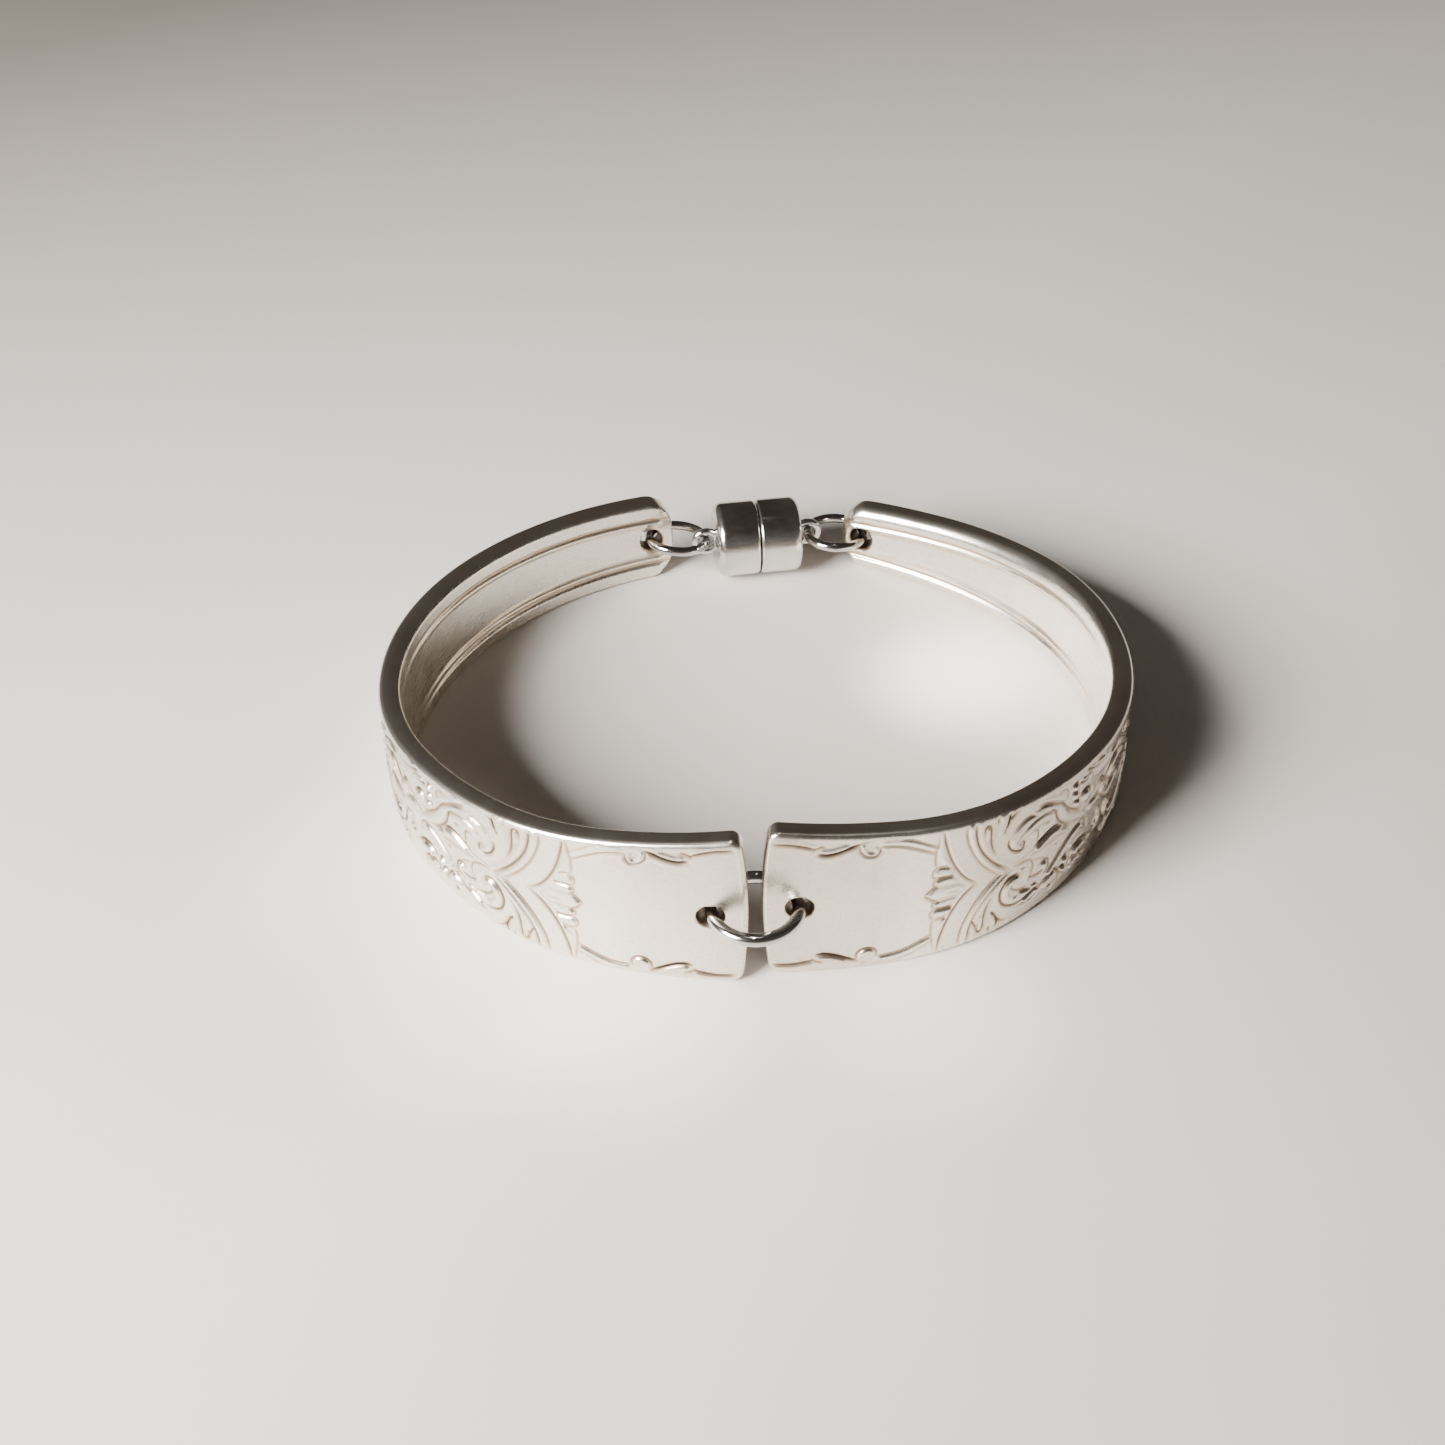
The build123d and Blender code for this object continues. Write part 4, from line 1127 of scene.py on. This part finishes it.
def floor_material():
    """Pale matt board with a faint mottle, darkened by painted shade away from the window and inside the
    bracelet.
    """
    material = bpy.data.materials.new("Pale board")
    material.use_nodes = True
    tree = material.node_tree
    shader = tree.nodes["Principled BSDF"]
    shader.inputs["Roughness"].default_value = FLOOR_ROUGHNESS
    shader.inputs["Specular IOR Level"].default_value = FLOOR_SHINE
    where = node(tree, "ShaderNodeTexCoord").outputs["Object"]
    board = clouded(tree, where, FLOOR_CLOUD, FLOOR_DULLEST, colours().floor)
    # Painted shadow of the walls, in a disc inside the bracelet
    disc = node(tree, "ShaderNodeTexGradient", gradient_type="SPHERICAL")
    width, depth = INSIDE_REACH
    tree.links.new(stretched(tree, where, (1 / (width * MM), 1 / (depth * MM), 0.0)), disc.inputs["Vector"])
    within = ranged(tree, disc.outputs["Fac"], 0.0, INSIDE_FADE)
    inside = maths(tree, "MULTIPLY", within, shades(tree, where, INSIDE_GAINS, PAINTED_INSIDE_SHADE))
    # Painted shade away from the window, added to the painted shadow inside
    shade = shades(tree, where, PAINTED_FLOOR_SHADES, inside)
    tree.links.new(mix_colour(tree, shade, board, PAINTED_SHADE_COLOUR), shader.inputs["Base Color"])
    return material


def put_on(piece, material):
    piece.data.materials.clear()
    piece.data.materials.append(material)


def clasp_frame(s):
    """Middle of the clasp's seam, and the way its axis runs to the right."""
    right = tip_hole(s, "right")
    left = tip_hole(s, "left")
    across = right - left
    across.z = 0
    axis = Matrix.Rotation(s.clasp_turn, 3, "Z") @ across.normalized()
    middle = (right + left) / 2
    return Vector((middle.x, middle.y, s.clasp_radius + s.clasp_lift)), axis


class BRACELET_OT_handles(bpy.types.Operator):
    """Make both spoon handles"""

    bl_idname = "bracelet.handles"
    bl_label = "Spoon Handles"

    def execute(self, context):
        s = sizes()
        silver = silver_material()
        for side in SIDES:
            piece = handle(s, side)
            put_on(piece, silver)
            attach(piece, side + "_half")
            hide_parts(side + "_handle")
        return {"FINISHED"}


class BRACELET_OT_rings(bpy.types.Operator):
    """Finish the front ring and both rear rings"""

    bl_idname = "bracelet.rings"
    bl_label = "Jump Rings"

    def execute(self, context):
        wire = bright_metal("Bright wire", colours().wire, *WIRE_FINISH)
        for name in ("front_ring", "left_rear_ring", "right_rear_ring"):
            put_on(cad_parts[name], wire)
        return {"FINISHED"}


def barrel(s, bm):
    """Half of the barrel, from the seam at 0 up its own axis, with a small lip and a rounder outer end."""
    length = (s.clasp_length - s.clasp_seam) / 2
    bmesh.ops.create_cone(
        bm, cap_ends=True, segments=BARREL_PARTS, radius1=s.clasp_radius, radius2=s.clasp_radius, depth=length
    )
    bmesh.ops.translate(bm, verts=bm.verts[:], vec=(0, 0, length / 2))
    for level, reach, parts in ((0.0, s.clasp_lip, LIP_PARTS), (length, s.clasp_rim, RIM_PARTS)):
        rim = [edge for edge in bm.edges if all(abs(vert.co.z - level) < 1e-7 for vert in edge.verts)]
        bmesh.ops.bevel(
            bm, geom=rim, offset=reach, segments=parts, profile=0.5, affect="EDGES", material=-1
        )
    caps = [face for face in bm.faces if len(face.verts) > 4]
    bmesh.ops.inset_individual(bm, faces=caps, thickness=CAP_RING * MM, depth=0.0)


def eye(s, bm):
    """The wire eye soldered to the barrel's outer end, made first and in the plane of its axis."""
    wire = bmesh.ops.create_circle(bm, segments=WIRE_PARTS, radius=s.eye_wire / 2)["verts"]
    bmesh.ops.rotate(bm, verts=wire, matrix=Matrix.Rotation(pi / 2, 3, "X"))
    bmesh.ops.translate(bm, verts=wire, vec=(s.eye_radius, 0, 0))
    bmesh.ops.spin(
        bm, geom=bm.verts[:] + bm.edges[:], cent=(0, 0, 0), axis=(0, 0, 1), angle=2 * pi, steps=EYE_PARTS,
        use_merge=True,
    )


def clasp_half(s, side):
    """One half of the clasp, turned to its own end of the barrel."""
    bm = bmesh.new()
    eye(s, bm)
    standoff = (s.clasp_length - s.clasp_seam) / 2 + s.eye_standoff
    bmesh.ops.rotate(bm, verts=bm.verts[:], matrix=Matrix.Rotation(pi / 2, 3, "X"))
    bmesh.ops.translate(bm, verts=bm.verts[:], vec=(0, 0, standoff))
    body = bmesh.new()
    barrel(s, body)
    mesh = bpy.data.meshes.new("barrel")
    body.to_mesh(mesh)
    body.free()
    bm.from_mesh(mesh)
    bpy.data.meshes.remove(mesh)
    bmesh.ops.recalc_face_normals(bm, faces=bm.faces[:])
    seam, axis = clasp_frame(s)
    outward = axis * SIDES[side]
    upright = Vector((0, 0, 1))
    turn = Matrix((upright, outward.cross(upright), outward)).transposed()
    bmesh.ops.transform(bm, verts=bm.verts[:], matrix=turn.to_4x4())
    bmesh.ops.translate(bm, verts=bm.verts[:], vec=seam + outward * s.clasp_seam / 2)
    return smooth_mesh(bm, side + "_barrel_half")


class BRACELET_OT_clasp(bpy.types.Operator):
    """Make both halves of the magnetic barrel clasp"""

    bl_idname = "bracelet.clasp"
    bl_label = "Barrel Clasp"

    def execute(self, context):
        s = sizes()
        plating = bright_metal("Bright clasp plating", colours().clasp, *CLASP_FINISH)
        for side in SIDES:
            piece = clasp_half(s, side)
            put_on(piece, plating)
            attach(piece, side + "_half")
            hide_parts(side + "_clasp_half")
        return {"FINISHED"}


class StageSettings(bpy.types.PropertyGroup):
    """Floor, light and camera"""

    floor_size: length_property("Floor size", "Side of the square floor", 3000.0)
    camera_distance: length_property("Camera distance", "From the camera to the point it looks at", 158.58)
    camera_height: length_property("Look height", "Height of the point that the camera looks at", 8.0)
    look_left: length_property("Look left", "How far left of the middle the camera looks", 2.6)
    look_front: length_property("Look front", "How far in front of the middle the camera looks", 6.34)
    elevation: angle_property("Elevation", "Camera's angle above the horizon", 40.6)
    yaw: angle_property("Yaw", "Camera's turn round the bracelet", 1.67)
    roll: angle_property("Roll", "Camera's turn about its own line of sight", -1.28)
    view_angle: angle_property("View angle", "Camera's whole angle of view", 40.0)


def lamp(name, kind, place, power, colour):
    """A lamp of one kind, placed in millimetres, and its data."""
    data = bpy.data.lights.new(name, kind)
    data.energy = power
    data.color = colour
    made = bpy.data.objects.new(name, data)
    bpy.context.scene.collection.objects.link(made)
    made.location = Vector(place) * MM
    return made, data


def window_light():
    """A square window that faces the bracelet."""
    window, data = lamp("window", "AREA", WINDOW_PLACE, WINDOW_POWER, WINDOW_COLOUR)
    data.shape = "SQUARE"
    data.size = WINDOW_SIDE * MM
    window.rotation_mode = "QUATERNION"
    window.rotation_quaternion = (-Vector(WINDOW_PLACE)).to_track_quat("-Z", "Y")


def glow_light(name, x, y, radius, power):
    """A soft spot from above, for light that the polished metal throws on the floor."""
    _, data = lamp(name, "SPOT", (x, y, GLOW_HEIGHT), power, GLOW_COLOUR)
    data.spot_blend = 1.0
    data.spot_size = 2 * atan2(radius, GLOW_HEIGHT)
    data.shadow_soft_size = GLOW_SIZE * MM
    data.use_shadow = False


def room_world():
    """A dim room, dark behind the bracelet and lit on its left and low in front."""
    world = bpy.data.worlds.new("Room")
    world.use_nodes = True
    tree = world.node_tree
    background = tree.nodes["Background"]
    place = node(tree, "ShaderNodeTexCoord")
    parts = node(tree, "ShaderNodeSeparateXYZ")
    tree.links.new(place.outputs["Generated"], parts.inputs[0])
    left = ranged(tree, parts.outputs["X"], *LEFT_RANGE)
    front = ranged(tree, parts.outputs["Y"], *FRONT_RANGE)
    low = ranged(tree, parts.outputs["Z"], *LOW_RANGE)
    ahead = maths(tree, "MULTIPLY", maths(tree, "MULTIPLY", front, low), FRONT_LIGHT)
    bright = maths(tree, "ADD", maths(tree, "MULTIPLY", left, LEFT_LIGHT), ahead)
    tree.links.new(mix_colour(tree, bright, ROOM_COLOUR, LIT_COLOUR), background.inputs["Color"])
    background.inputs["Strength"].default_value = 1.0
    return world


class BRACELET_OT_stage(bpy.types.Operator):
    """Make the floor, lights and camera"""

    bl_idname = "bracelet.stage"
    bl_label = "Stage"

    def execute(self, context):
        t = context.scene.bracelet_stage
        bm = bmesh.new()
        bmesh.ops.create_grid(bm, x_segments=1, y_segments=1, size=t.floor_size / 2)
        floor = smooth_mesh(bm, "floor")
        put_on(floor, floor_material())
        window_light()
        for glow in GLOWS:
            glow_light(*glow)
        context.scene.world = room_world()
        self.camera(context, t)
        return {"FINISHED"}

    def camera(self, context, t):
        """Sets the camera at the photograph's viewing angle."""
        data = bpy.data.cameras.new("camera")
        data.sensor_width = SENSOR_WIDTH
        data.lens = data.sensor_width / 2 / tan(t.view_angle / 2)
        data.clip_start, data.clip_end = SIGHT
        camera = bpy.data.objects.new("camera", data)
        context.scene.collection.objects.link(camera)
        target = Vector((-t.look_left, -t.look_front, t.camera_height))
        back = Vector((
            sin(t.yaw) * cos(t.elevation),
            -cos(t.yaw) * cos(t.elevation),
            sin(t.elevation),
        ))
        camera.location = target + back * t.camera_distance
        camera.rotation_mode = "QUATERNION"
        straight = (-back).to_track_quat("-Z", "Y")
        camera.rotation_quaternion = straight @ Matrix.Rotation(t.roll, 3, "Z").to_quaternion()
        context.scene.camera = camera


class BRACELET_PT_panel(bpy.types.Panel):
    """The bracelet's tools and sizes"""

    bl_idname = "BRACELET_PT_panel"
    bl_label = "Spoon Handle Bracelet"
    bl_space_type = "VIEW_3D"
    bl_region_type = "UI"
    bl_category = "Bracelet"

    def draw(self, context):
        layout = self.layout
        for operator in OPERATORS:
            layout.operator(operator.bl_idname)
        for group_name in GROUPS:
            group = getattr(context.scene, group_name)
            box = layout.box()
            for name in group.__annotations__:
                box.prop(group, name)


OPERATORS = (BRACELET_OT_handles, BRACELET_OT_rings, BRACELET_OT_clasp, BRACELET_OT_stage)
GROUPS = {
    "bracelet_sizes": BraceletSizes,
    "bracelet_colours": BraceletColours,
    "bracelet_stage": StageSettings,
}


def register():
    for name, group in GROUPS.items():
        bpy.utils.register_class(group)
        setattr(bpy.types.Scene, name, bpy.props.PointerProperty(type=group))
    for operator in OPERATORS:
        bpy.utils.register_class(operator)
    bpy.utils.register_class(BRACELET_PT_panel)


def unregister():
    bpy.utils.unregister_class(BRACELET_PT_panel)
    for operator in reversed(OPERATORS):
        bpy.utils.unregister_class(operator)
    for name, group in GROUPS.items():
        delattr(bpy.types.Scene, name)
        bpy.utils.unregister_class(group)


def main():
    register()
    bpy.ops.bracelet.handles()
    bpy.ops.bracelet.rings()
    bpy.ops.bracelet.clasp()
    bpy.ops.bracelet.stage()


if __name__ == "__main__":
    main()
